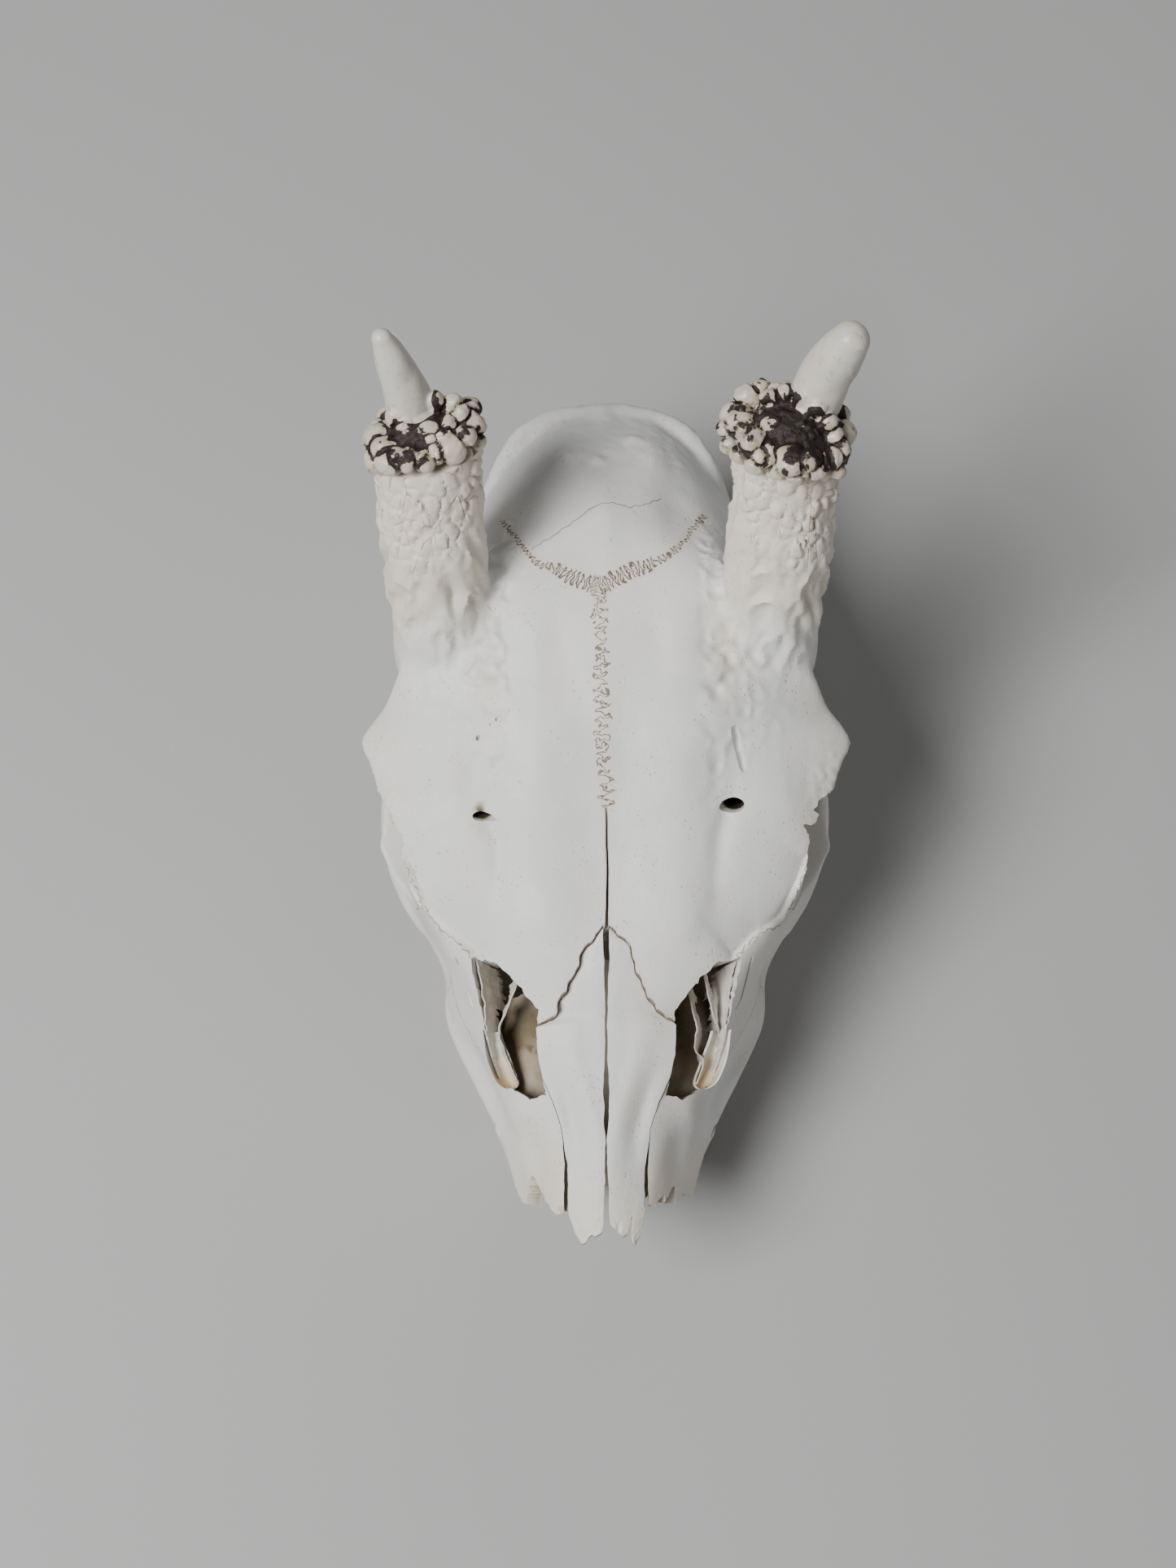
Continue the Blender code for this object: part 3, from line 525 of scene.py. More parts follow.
def sweep(path: Path | Array, steps: int = 40, sides: int = 32) -> Shell:
    """An oval carried along a curve.

    The ring at each step is centre + across * a * cos(t) + other * b * sin(t), where across is the x
    direction made square to the curve and other is square to both.

    Args:
        path: rows of x, y, z, a and, if it differs, b.
        steps: rings along the curve.
        sides: points round each ring.

    Returns:
        The closed limb.
    """
    rows = spline(path, steps)
    ahead = np.gradient(rows[:, :3], axis=0)
    ahead /= np.linalg.norm(ahead, axis=1, keepdims=True)
    across = np.array((1.0, 0, 0)) - ahead * ahead[:, :1]
    across /= np.linalg.norm(across, axis=1, keepdims=True)
    other = np.cross(ahead, across)
    turn = np.linspace(0, math.tau, sides, endpoint=False)
    wide = rows[:, None, 3:4] * across[:, None] * np.cos(turn)[None, :, None]
    tall = rows[:, None, -1:] * other[:, None] * np.sin(turn)[None, :, None]
    return tube(rows[:, None, :3] + wide + tall)


def ball(centre: Array | tuple[float, ...], half: tuple[float, ...] | Array, sides: int = 32) -> Shell:
    """An ellipsoid: centre + half * (sin a cos b, sin a sin b, cos a) over polar angle a and turn b."""
    a = np.linspace(0.04, math.pi - 0.04, sides // 2)[:, None]
    b = np.linspace(0, math.tau, sides, endpoint=False)[None, :]
    unit = np.stack([np.sin(a) * np.cos(b), np.sin(a) * np.sin(b), np.cos(a) + 0 * b], axis=-1)
    return tube(np.asarray(centre, float) + unit * np.asarray(half, float))


def section_table(sections: dict[float, Row], stations: int, points: int) -> tuple[Array, Array]:
    """Half sections resampled along y and round the section.

    Args:
        sections: half sections keyed by y.
        stations: how many sections to give back.
        points: how many points each.

    Returns:
        y of each station, and (stations, points, 2) of x and z.
    """
    keys = sorted(sections)
    halves = np.array([sections[key] for key in keys], float)
    rows = np.concatenate([halves.reshape(len(keys), -1), np.array(keys, float)[:, None]], axis=1)
    fine = spline(rows, stations)
    rounds = fine[:, :-1].reshape(stations, -1, 2).transpose(1, 0, 2)
    rounds = spline(rounds, points).transpose(1, 0, 2)
    rounds[..., 0] = np.maximum(rounds[..., 0], 0)
    rounds[:, [0, -1], 0] = 0
    return fine[:, -1], rounds


def loft(sections: dict[float, Row], stations: int, points: int) -> Shell:
    """Skin through half sections keyed by y, mirrored across x = 0."""
    y, half = section_table(sections, stations, points)
    whole = np.concatenate([half, half[:, -2:0:-1] * (-1, 1)], axis=1)
    rings = np.stack([whole[..., 0], np.broadcast_to(y[:, None], whole.shape[:2]), whole[..., 1]], axis=-1)
    return tube(rings)


def ragged(outline: Path | Array, spacing: float, jitter: float, seed: int, closed: bool = False) -> Array:
    """An outline cut into short stretches whose ends are moved a little at random.

    Args:
        outline: (n, k) corner points.
        spacing: length of a stretch.
        jitter: largest move in each direction.
        seed: of the random moves.
        closed: whether the last point joins the first.

    Returns:
        The rougher outline; its first and last points stay where they are unless it is closed.
    """
    rows = np.asarray(outline, float)
    if closed:
        rows = np.concatenate([rows, rows[:1]])
    lengths = np.linalg.norm(np.diff(rows, axis=0), axis=1)
    run = np.concatenate([[0], np.cumsum(lengths)])
    count = max(int(run[-1] / spacing), len(rows))
    where = np.union1d(np.linspace(0, run[-1], count), run)
    fine = np.stack([np.interp(where, run, rows[:, k]) for k in range(rows.shape[1])], axis=-1)
    moves = np.random.default_rng(seed).uniform(-jitter, jitter, fine.shape)
    if closed:
        return (fine + moves)[:-1]
    moves[[0, -1]] = 0
    return fine + moves


# ---- Meshes ----


def make_object(name: str, shells: list[Shell]) -> Object:
    """Put shells into one mesh object in the part's frame.

    Args:
        name: object name.
        shells: closed skins in design millimetres.

    Returns:
        The linked object at the origin.
    """
    faces: list[list[int]] = []
    offset = 0
    for shell in shells:
        faces += [[i + offset for i in face] for face in shell.faces]
        offset += len(shell.points)
    points = (np.concatenate([shell.points for shell in shells]) - SHIFT) * MM
    mesh = bpy.data.meshes.new(name)
    mesh.from_pydata(points.tolist(), [], faces)
    bm = bmesh.new()
    bm.from_mesh(mesh)
    bmesh.ops.recalc_face_normals(bm, faces=bm.faces)
    bm.to_mesh(mesh)
    bm.free()
    return place_object(name, mesh)


def place_object(name: str, data: bpy.types.ID) -> Object:
    """A new object for a mesh, a light or a camera, linked to the scene."""
    obj = bpy.data.objects.new(name, data)
    bpy.context.scene.collection.objects.link(obj)
    return obj


def apply_modifiers(obj: Object) -> None:
    """Replace the object's mesh by its evaluated form."""
    graph = bpy.context.evaluated_depsgraph_get()
    made = bpy.data.meshes.new_from_object(obj.evaluated_get(graph))
    obj.modifiers.clear()
    old = obj.data
    obj.data = made
    bpy.data.meshes.remove(old)


def soften(obj: Object, turns: int) -> None:
    """Add a modifier that relaxes the skin this many times."""
    smooth = obj.modifiers.new("soften", "SMOOTH")
    smooth.factor = 0.5
    smooth.iterations = turns


def fuse(obj: Object, voxel: float, smoothing: int) -> None:
    """Merge overlapping shells into one skin of even faces, then relax it.

    Args:
        obj: object to change.
        voxel: face size in millimetres.
        smoothing: how often to relax.
    """
    remesh = obj.modifiers.new("fuse", "REMESH")
    remesh.mode = "VOXEL"
    remesh.voxel_size = voxel * MM
    soften(obj, smoothing)
    apply_modifiers(obj)


def carve(obj: Object, label: str, shells: list[Shell]) -> None:
    """Cut closed shells out of an object.

    Args:
        obj: closed object to cut.
        label: name for the log.
        shells: closed skins in design millimetres, which don't overlap each other.
    """
    cutter = make_object(label, shells)
    boolean = obj.modifiers.new(label, "BOOLEAN")
    boolean.operation = "DIFFERENCE"
    boolean.solver = "MANIFOLD"
    boolean.object = cutter
    before = len(obj.data.polygons)
    apply_modifiers(obj)
    log.info("carved %s: %d faces to %d", label, before, len(obj.data.polygons))
    bpy.data.objects.remove(cutter)


def thin_out(obj: Object, triangles: int) -> None:
    """Collapse edges until about this many triangles are left, fewest where the skin is flat."""
    obj.data.calc_loop_triangles()
    count = len(obj.data.loop_triangles)
    if count > triangles:
        decimate = obj.modifiers.new("thin_out", "DECIMATE")
        decimate.ratio = triangles / count
        apply_modifiers(obj)
    log.info("%s thinned from %d triangles towards %d", obj.name, count, triangles)


def read_points(obj: Object) -> Array:
    """The mesh's points in design millimetres."""
    flat = np.empty(len(obj.data.vertices) * 3)
    obj.data.vertices.foreach_get("co", flat)
    return flat.reshape(-1, 3) / MM + SHIFT


def write_points(obj: Object, points: Array) -> None:
    """Move the mesh's points to these places in design millimetres."""
    obj.data.vertices.foreach_set("co", ((points - SHIFT) * MM).ravel())
    obj.data.update()


def read_normals(obj: Object) -> Array:
    """Unit normal at each point."""
    flat = np.empty(len(obj.data.vertices) * 3)
    obj.data.vertex_normals.foreach_get("vector", flat)
    return flat.reshape(-1, 3)


def store(obj: Object, name: str, values: Array) -> None:
    """Store a number or a vector per point under this name for the materials, over an earlier one."""
    kind, key = ("FLOAT", "value") if values.ndim == 1 else ("FLOAT_VECTOR", "vector")
    layers = obj.data.attributes
    layer = layers.get(name) or layers.new(name, kind, "POINT")
    layer.data.foreach_set(key, values.ravel())


def store_blanks(obj: Object, hollow_stain_and_shade: float) -> None:
    """Store plain values for every mask and track that the bone finish reads; the darkening of hollows, inner
    stain and painted shade, gets the given level.
    """
    count = len(obj.data.vertices)
    for name, value in (("rise", 0.0), ("pearls", 0.0), ("warmth", 0.6), ("hollow_stain_and_shade", hollow_stain_and_shade), ("pit", 0.0)):
        store(obj, name, np.full(count, value))
    for name in TRACKS:
        store(obj, name, np.tile(FAR_OFF, (count, 1)))


def largest_piece(obj: Object) -> None:
    """Delete every loose piece but the largest.

    Each point takes the smallest number among the points joined to it until none changes.
    """
    mesh = obj.data
    ends = np.empty(len(mesh.edges) * 2, np.int32)
    mesh.edges.foreach_get("vertices", ends)
    ends = ends.reshape(-1, 2)
    number = np.arange(len(mesh.vertices))
    while True:
        low = np.minimum(number[ends[:, 0]], number[ends[:, 1]])
        new = number.copy()
        np.minimum.at(new, ends[:, 0], low)
        np.minimum.at(new, ends[:, 1], low)
        new = new[new]
        if (new == number).all():
            break
        number = new
    names, counts = np.unique(number, return_counts=True)
    if len(names) == 1:
        return
    bm = bmesh.new()
    bm.from_mesh(mesh)
    bm.verts.ensure_lookup_table()
    doomed = np.nonzero(number != names[counts.argmax()])[0]
    bmesh.ops.delete(bm, geom=[bm.verts[i] for i in doomed.tolist()], context="VERTS")
    bm.to_mesh(mesh)
    bm.free()
    log.info("%s: dropped %d loose pieces", obj.name, len(names) - 1)


def rise_above_neighbours(obj: Object, turns: int) -> Array:
    """How far each point stands out of the relaxed surface, in millimetres; negative in a crevice.

    Args:
        obj: object to read.
        turns: how often the compared copy is relaxed.

    Returns:
        Distance from the relaxed copy along the normal.
    """
    copy = place_object("relaxed", obj.data.copy())
    soften(copy, turns)
    apply_modifiers(copy)
    rise = ((read_points(obj) - read_points(copy)) * read_normals(obj)).sum(axis=1)
    relaxed = copy.data
    bpy.data.objects.remove(copy)
    bpy.data.meshes.remove(relaxed)
    return rise


def track_along(points: Array, path: Path | Array, reach_z: float = 5.0) -> Array:
    """Place of each point along and across a line drawn on the surface, seen from above.

    The nearest stretch of the line gives along, its running length plus the share of the stretch, and
    across, the signed distance from it. The third value is how far the point lies past an end.

    Args:
        points: (n, 3) positions.
        path: line points.
        reach_z: points further than this above or below the line get a large across.

    Returns:
        (n, 3) of along, across and beyond, in millimetres.
    """
    line = spline(path, len(path) * 3)
    start, legs = line[:-1], np.diff(line, axis=0)
    length = np.linalg.norm(legs[:, :2], axis=1)
    run = np.concatenate([[0], np.cumsum(length)])
    best = np.full(len(points), 1e9)
    out = np.zeros((len(points), 3))
    for i, (origin, leg) in enumerate(zip(start, legs)):
        rel = points[:, :2] - origin[:2]
        t = rel @ leg[:2] / length[i] ** 2
        low = -1e9 if i == 0 else 0.0
        high = 1e9 if i == len(legs) - 1 else 1.0
        t = np.clip(t, low, high)
        away = rel - t[:, None] * leg[:2]
        signed = np.sign(leg[0] * rel[:, 1] - leg[1] * rel[:, 0])
        far = np.linalg.norm(away, axis=1)
        z = origin[2] + np.clip(t, 0, 1) * leg[2]
        off = np.maximum(np.abs(points[:, 2] - z) - reach_z, 0) * 4
        nearer = far + off < best
        best = np.where(nearer, far + off, best)
        along = run[i] + t * length[i]
        past = np.maximum(-along, along - run[-1])
        values = np.stack([along, signed * (far + off), np.maximum(past, 0)], axis=-1)
        out = np.where(nearer[:, None], values, out)
    return out


def within(points: Array, shape: Ball, grow: float = 0.0) -> Array:
    """Whether each point lies in an ellipsoid grown by so many millimetres, on either side of x = 0."""
    centre, half = np.array(shape[0], float), np.array(shape[1], float) + grow
    folded = points.copy()
    if centre[0]:
        folded[:, 0] = np.abs(folded[:, 0])
    return (((folded - centre) / half) ** 2).sum(axis=1) < 1


def within_nose(points: Array, grow: float) -> Array:
    """Whether each point lies in the nose cavity grown by so many millimetres.

    At each point's y the half section is read from the table, and the point counts its crossings.
    """
    y, half = section_table(NOSE_CAVITY, 60, 20)
    at = np.interp(points[:, 1], y, np.arange(len(y)))
    low = np.minimum(at.astype(int), len(y) - 2)
    share = (at - low)[:, None, None]
    section = half[low] * (1 - share) + half[low + 1] * share
    middle = np.array((0.0, 42.0))
    section = section + grow * (section - middle) / np.linalg.norm(section - middle, axis=-1, keepdims=True)
    x, z = np.abs(points[:, 0])[:, None], points[:, 2][:, None]
    a, b = section[:, :-1], section[:, 1:]
    spans = (a[..., 1] > z) != (b[..., 1] > z)
    with np.errstate(divide="ignore", invalid="ignore"):
        cut = a[..., 0] + (z - a[..., 1]) / (b[..., 1] - a[..., 1]) * (b[..., 0] - a[..., 0])
    inside = (spans & (cut > x)).sum(axis=1) % 2 == 1
    return inside & (points[:, 1] > y[0] - 1) & (points[:, 1] < y[-1] + grow)


# ---- Finishes ----


class Graph:
    """Adds nodes to one node tree and joins them."""

    def __init__(self, tree: Tree) -> None:
        """Work on this tree."""
        self.tree = tree

    def put(self, kind: str, inputs: dict | None = None, **settings) -> Node:
        """Add a node.

        Args:
            kind: node type.
            inputs: socket name or number to a value or to the socket that feeds it.
            settings: the node's own properties.

        Returns:
            The node.
        """
        node = self.tree.nodes.new(kind)
        for name, value in settings.items():
            setattr(node, name, value)
        self.feed(node, inputs or {})
        return node

    def feed(self, node: Node, inputs: dict) -> None:
        """Give each named input its value or the socket that feeds it."""
        for name, value in inputs.items():
            if isinstance(value, Socket):
                self.tree.links.new(value, node.inputs[name])
            else:
                node.inputs[name].default_value = value

    def math(self, operation: str, a: Number, b: Number = 0.0, clamp: bool = False) -> Socket:
        """Result of one calculation."""
        node = self.put("ShaderNodeMath", {0: a, 1: b}, operation=operation, use_clamp=clamp)
        return node.outputs[0]

    def plus(self, a: Number, b: Number, clamp: bool = False) -> Socket:
        """a + b."""
        return self.math("ADD", a, b, clamp)

    def minus(self, a: Number, b: Number, clamp: bool = False) -> Socket:
        """a - b."""
        return self.math("SUBTRACT", a, b, clamp)

    def times(self, a: Number, b: Number, clamp: bool = False) -> Socket:
        """a * b."""
        return self.math("MULTIPLY", a, b, clamp)

    def rest(self, share: Number, clamp: bool = False) -> Socket:
        """1 - share."""
        return self.minus(1.0, share, clamp)

    def vector(self, operation: str, a: Socket, b: Socket | tuple, socket: int | str = 1) -> Socket:
        """Result of one calculation with vectors."""
        return self.put("ShaderNodeVectorMath", {0: a, socket: b}, operation=operation).outputs[0]

    def blend(self, share: Number, a: Colour | Socket, b: Colour | Socket) -> Socket:
        """Colour a turned towards colour b by share."""
        return self.put("ShaderNodeMix", {0: share, 6: a, 7: b}, data_type="RGBA").outputs[2]

    def rise(self, value: Socket, low: Number, high: Number, top: float = 1.0) -> Socket:
        """Smooth step from 0 at low to top at high."""
        inputs = {0: value, 1: low, 2: high, 4: top}
        return self.put("ShaderNodeMapRange", inputs, interpolation_type="SMOOTHSTEP").outputs[0]

    def noise(
        self, at: Socket, scale: Number, detail: float = 3.0, rough: float = 0.55, twist: float = 0.0
    ) -> Socket:
        """Soft noise from 0 to 1 at a vector."""
        inputs = {"Vector": at, "Scale": scale, "Detail": detail, "Roughness": rough, "Distortion": twist}
        return self.put("ShaderNodeTexNoise", inputs).outputs[0]

    def stretched(self, at: Socket, factors: tuple[float, float, float]) -> Socket:
        """The vector with each part multiplied, so that a pattern on it is drawn out."""
        return self.vector("MULTIPLY", at, factors)

    def mask(self, name: str) -> Socket:
        """Number stored on the mesh under this name."""
        return self.put("ShaderNodeAttribute", attribute_name=name).outputs["Fac"]

    def track(self, name: str) -> Socket:
        """Vector stored on the mesh under this name."""
        return self.put("ShaderNodeAttribute", attribute_name=name).outputs["Vector"]

    def use(self, group: Tree, inputs: dict) -> Node:
        """Place a shared effect with its own values."""
        return self.put("ShaderNodeGroup", inputs, node_tree=group)


def new_effect(
    name: str, takes: dict[str, str], gives: dict[str, str]
) -> tuple[Graph, dict[str, Socket], Node]:
    """Start a shared effect.

    Args:
        name: the effect's name.
        takes: input names with their kind, Float, Vector or Color.
        gives: output names with their kind.

    Returns:
        Its graph, its inputs by name, and the node that takes its outputs.
    """
    tree = bpy.data.node_groups.new(name, "ShaderNodeTree")
    for way, words in (("INPUT", takes), ("OUTPUT", gives)):
        for word, kind in words.items():
            tree.interface.new_socket(name=word, in_out=way, socket_type=f"NodeSocket{kind}")
    graph = Graph(tree)
    source = graph.put("NodeGroupInput")
    return graph, {word: source.outputs[word] for word in takes}, graph.put("NodeGroupOutput")


@dataclass(frozen=True)
class SharedEffects:
    """Node groups that more than one finish uses, built once."""

    suture: Tree
    grain: Tree
    crevice: Tree

    @staticmethod
    def build() -> "SharedEffects":
        """Build every group."""
        return SharedEffects(SharedEffects._suture(), SharedEffects._grain(), SharedEffects._crevice_dirt_and_shade())

    @staticmethod
    def _suture() -> Tree:
        """A meandering line: across - reach * sin(turns along), over the root of one plus its slope squared.

        The place along and across is first shifted by noise, which turns the waves into loops.
        """
        takes = {"Track": "Vector"} | dict.fromkeys(("Reach", "Pitch", "Tangle", "Width", "Gaps"), "Float")
        graph, source, sink = new_effect("suture_line", takes, {"Line": "Float", "Halo": "Float"})
        flat = graph.stretched(source["Track"], (1.0, 1.0, 0.0))
        cloud = graph.put("ShaderNodeTexNoise", {"Vector": flat, "Scale": 0.55, "Detail": 2.0})
        centred = graph.vector("SUBTRACT", cloud.outputs["Color"], (0.5, 0.5, 0.5))
        pushed = graph.vector("SCALE", centred, source["Tangle"], "Scale")
        moved = graph.vector("ADD", source["Track"], pushed)
        parts = graph.put("ShaderNodeSeparateXYZ", {0: moved})
        raw = graph.put("ShaderNodeSeparateXYZ", {0: source["Track"]})
        rate = graph.math("DIVIDE", math.tau, source["Pitch"])
        angle = graph.times(parts.outputs[0], rate)
        swing = graph.times(source["Reach"], graph.math("SINE", angle))
        slope = graph.times(graph.times(source["Reach"], rate), graph.math("COSINE", angle))
        spread = graph.math("SQRT", graph.plus(graph.times(slope, slope), 1.0))
        away = graph.math("ABSOLUTE", graph.minus(parts.outputs[1], swing))
        away = graph.math("DIVIDE", away, spread)
        half = graph.times(source["Width"], 0.5)
        line = graph.rest(graph.rise(away, half, graph.plus(half, 0.1)))
        ends = graph.rest(graph.rise(raw.outputs[2], 0.0, 1.0))
        broken = graph.rise(graph.noise(flat, 0.8, 2.0), graph.minus(source["Gaps"], 0.06), source["Gaps"])
        line = graph.times(graph.times(line, ends), broken)
        near = graph.math("ABSOLUTE", raw.outputs[1])
        wide = graph.plus(source["Reach"], 1.8)
        halo = graph.rest(graph.rise(near, graph.times(source["Reach"], 0.5), wide))
        graph.feed(sink, {"Line": line, "Halo": graph.times(halo, ends)})
        return graph.tree

    @staticmethod
    def _grain() -> Tree:
        """Fine tooth of old bone: stretched noise for fibres and sparse round pores."""
        takes = {"Place": "Vector", "Fibre": "Float", "Pores": "Float"}
        graph, source, sink = new_effect("bone_grain", takes, {"Height": "Float", "Pore": "Float"})
        fibres = graph.noise(graph.stretched(source["Place"], (1.0, 0.18, 0.5)), 2600.0, 4.0, 0.6)
        tooth = graph.noise(source["Place"], 3800.0, 3.0, 0.6)
        cells = graph.put("ShaderNodeTexVoronoi", {"Vector": source["Place"], "Scale": 900.0})
        patch = graph.rise(graph.noise(source["Place"], 140.0, 3.0), 0.48, 0.66)
        hole = graph.rest(graph.rise(cells.outputs["Distance"], 0.10, 0.26))
        hole = graph.times(graph.times(hole, patch), source["Pores"])
        height = graph.times(graph.minus(fibres, 0.5), source["Fibre"])
        height = graph.plus(height, graph.times(graph.minus(tooth, 0.5), 0.03))
        height = graph.minus(height, graph.times(hole, 0.10))
        graph.feed(sink, {"Height": height, "Pore": hole})
        return graph.tree

    @staticmethod
    def _crevice_dirt_and_shade() -> Tree:
        """Darkening held in hollows, grime and on the bone also painted shade: 1 where the stored rise plus
        noise is below Edge, fading over Soft.
        """
        takes = {"Place": "Vector"} | dict.fromkeys(("Rise", "Edge", "Soft", "Break", "Scale"), "Float")
        graph, source, sink = new_effect("crevice_dirt_and_painted_shade", takes, {"DirtAndShade": "Float"})
        cloud = graph.noise(source["Place"], source["Scale"], 4.0, 0.6)
        shake = graph.times(graph.minus(cloud, 0.5), source["Break"])
        level = graph.plus(source["Rise"], shake)
        top = graph.plus(source["Edge"], source["Soft"])
        dirt_and_shade = graph.rest(graph.rise(level, source["Edge"], top))
        graph.feed(sink, {"DirtAndShade": dirt_and_shade})
        return graph.tree


class Finish(ABC):
    """A Principled material on object coordinates and the masks stored on the mesh."""

    name: ClassVar[str]
    extras: ClassVar[dict[str, float]] = {}

    @abstractmethod
    def paint(self, graph: Graph, place: Socket, effects: SharedEffects) -> tuple[Socket, Socket, Socket]:
        """Colour, roughness and relief in millimetres at a place."""

    def build(self, effects: SharedEffects) -> Material:
        """Make the material.

        Args:
            effects: the shared node groups.

        Returns:
            The material, its relief carried by a bump node.
        """
        material = bpy.data.materials.new(self.name)
        material.use_nodes = True
        graph = Graph(material.node_tree)
        place = graph.put("ShaderNodeTexCoord").outputs["Object"]
        colour, rough, relief = self.paint(graph, place, effects)
        bump = graph.put("ShaderNodeBump", {"Strength": 1.0, "Distance": MM, "Height": relief})
        sockets = {"Base Color": colour, "Roughness": rough, "Normal": bump.outputs[0], **self.extras}
        graph.feed(material.node_tree.nodes["Principled BSDF"], sockets)
        return material


@dataclass(frozen=True)
class BoneFinish(Finish):
    """Bleached bone with brown sutures, cream pedicles, hollows painted a darker brown that is partly inner
    stain and partly painted shade, near black painted shade deep in the holes, and grime with painted shade
    in the creases.
    """

    name: ClassVar[str] = "bone"
    extras: ClassVar[dict[str, float]] = {"Specular IOR Level": 0.45}
    lit: Colour = (0.80, 0.79, 0.765, 1)
    cool: Colour = (0.71, 0.715, 0.70, 1)
    cream: Colour = (0.75, 0.67, 0.54, 1)
    seam_brown: Colour = (0.16, 0.10, 0.055, 1)
    # Brown of hollows: partly inner stain, partly painted shade. The near black below it is painted shade
    # deep in holes.
    hollow_stain_and_shade_brown: Colour = (0.27, 0.205, 0.11, 1)
    painted_hole_shade: Colour = (0.03, 0.022, 0.015, 1)
    pit_tan: Colour = (0.62, 0.47, 0.28, 1)
    # Brown of creases: grime and painted shade, strongest between the pedicle pearls.
    crevice_dirt_and_shade_brown: Colour = (0.33, 0.25, 0.16, 1)
    pore_brown: Colour = (0.36, 0.29, 0.20, 1)
    crack_brown: Colour = (0.30, 0.20, 0.12, 1)
    fibre_height: float = 0.05
    seam_depth: float = 0.12
    crack_depth: float = 0.15
    roughness: float = 0.5
    # Each seam's reach, pitch, tangle, width and gaps, then how strong its line and its pale edge are.
    seams: tuple[tuple[str, tuple[float, ...], float, float], ...] = (
        ("coronal", (1.75, 1.35, 2.2, 0.19, 0.30), 0.95, 0.4),
        ("interfrontal", (1.5, 2.3, 4.4, 0.17, 0.34), 0.92, 0.45),
        ("parietal_crack", (0.12, 2.7, 1.0, 0.09, 0.33), 0.75, 0.0),
        ("midline_crack", (0.02, 9.0, 0.15, 0.5, 0.0), 0.75, 0.2),
        ("nasal_seam", (0.1, 3.0, 0.3, 0.16, 0.0), 0.80, 0.35),
        ("side_seams", (0.45, 2.6, 1.8, 0.10, 0.36), 0.55, 0.2),
        ("brow_seam", (0.2, 2.3, 1.6, 0.10, 0.44), 0.55, 0.2),
    )

    def paint(self, graph: Graph, place: Socket, effects: SharedEffects) -> tuple[Socket, Socket, Socket]:
        """Clouds of cream, grime with painted shade in creases, pores, hollows painted darker as inner stain
        and painted shade, near black painted shade deep in holes, seams with pale edges and hair cracks.
        """
        clouds = graph.noise(place, 24.0, 5.0, 0.6, 0.4)
        colour = graph.blend(graph.rise(clouds, 0.38, 0.64), self.lit, self.cool)
        streaks = graph.noise(graph.stretched(place, (1.0, 0.25, 0.6)), 190.0, 5.0, 0.65)
        colour = graph.blend(graph.rise(streaks, 0.50, 0.78, 0.22), colour, self.cream)
        warm = graph.plus(graph.mask("warmth"), graph.minus(graph.noise(place, 70.0, 4.0), 0.5))
        colour = graph.blend(graph.rise(warm, 0.1, 1.1, 0.8), colour, self.cream)

        pearls = graph.mask("pearls")
        rise = graph.mask("rise")
        # Creases darkened by the stored rise: grime and painted shade, stronger on the pedicle pearls.
        shade = graph.use(effects.crevice, {
            "Place": place, "Rise": rise, "Edge": -0.26, "Soft": 0.26, "Break": 0.2, "Scale": 420.0,
        }).outputs["DirtAndShade"]
        dirt_and_shade = graph.times(shade, graph.plus(graph.times(pearls, 0.26), 0.16))
        colour = graph.blend(dirt_and_shade, colour, self.crevice_dirt_and_shade_brown)

        grain = graph.use(effects.grain, {"Place": place, "Fibre": self.fibre_height, "Pores": 1.0})
        colour = graph.blend(graph.times(grain.outputs["Pore"], 0.45), colour, self.pore_brown)

        # Hollows painted darker brown: partly inner stain, partly painted shade.
        hollow_stain_and_shade = graph.mask("hollow_stain_and_shade")
        depth = graph.times(hollow_stain_and_shade, graph.rise(graph.noise(place, 110.0, 4.0), 0.15, 0.75))
        stain = graph.plus(graph.times(hollow_stain_and_shade, 0.5), graph.times(depth, 0.45))
        colour = graph.blend(stain, colour, self.hollow_stain_and_shade_brown)
        # Where the stored value passes 1, near black painted shade, as deep in the brow holes and at the back
        # of the conchae.
        deep = graph.times(graph.minus(hollow_stain_and_shade, 1.0, clamp=True), 1.8, clamp=True)
        colour = graph.blend(deep, colour, self.painted_hole_shade)
        colour = graph.blend(graph.mask("pit"), colour, self.pit_tan)

        relief = grain.outputs["Height"]
        for name, shape, strength, halo in self.seams:
            values = dict(zip(("Reach", "Pitch", "Tangle", "Width", "Gaps"), shape))
            if name == "coronal":
                parts = graph.put("ShaderNodeSeparateXYZ", {0: place})
                calmer = graph.rise(graph.math("ABSOLUTE", parts.outputs[0]), 0.004, 0.019, 1.3)
                values["Reach"] = graph.minus(shape[0], calmer)
            line = graph.use(effects.suture, {"Track": graph.track(name), **values})
            colour = graph.blend(graph.times(line.outputs["Halo"], halo), colour, self.cream)
            colour = graph.blend(graph.times(line.outputs["Line"], strength), colour, self.seam_brown)
            relief = graph.minus(relief, graph.times(line.outputs["Line"], self.seam_depth))

        hair = graph.put("ShaderNodeTexVoronoi", {
            "Vector": graph.stretched(place, (1.0, 0.4, 0.22)), "Scale": 230.0, "Randomness": 1.0,
        }, feature="DISTANCE_TO_EDGE")
        crack = graph.rest(graph.rise(hair.outputs["Distance"], 0.0, 0.035))
        crack = graph.times(graph.times(crack, pearls), graph.rise(graph.noise(place, 160.0), 0.45, 0.6))
        colour = graph.blend(graph.times(crack, 0.6), colour, self.crack_brown)
        relief = graph.minus(relief, graph.times(crack, self.crack_depth))

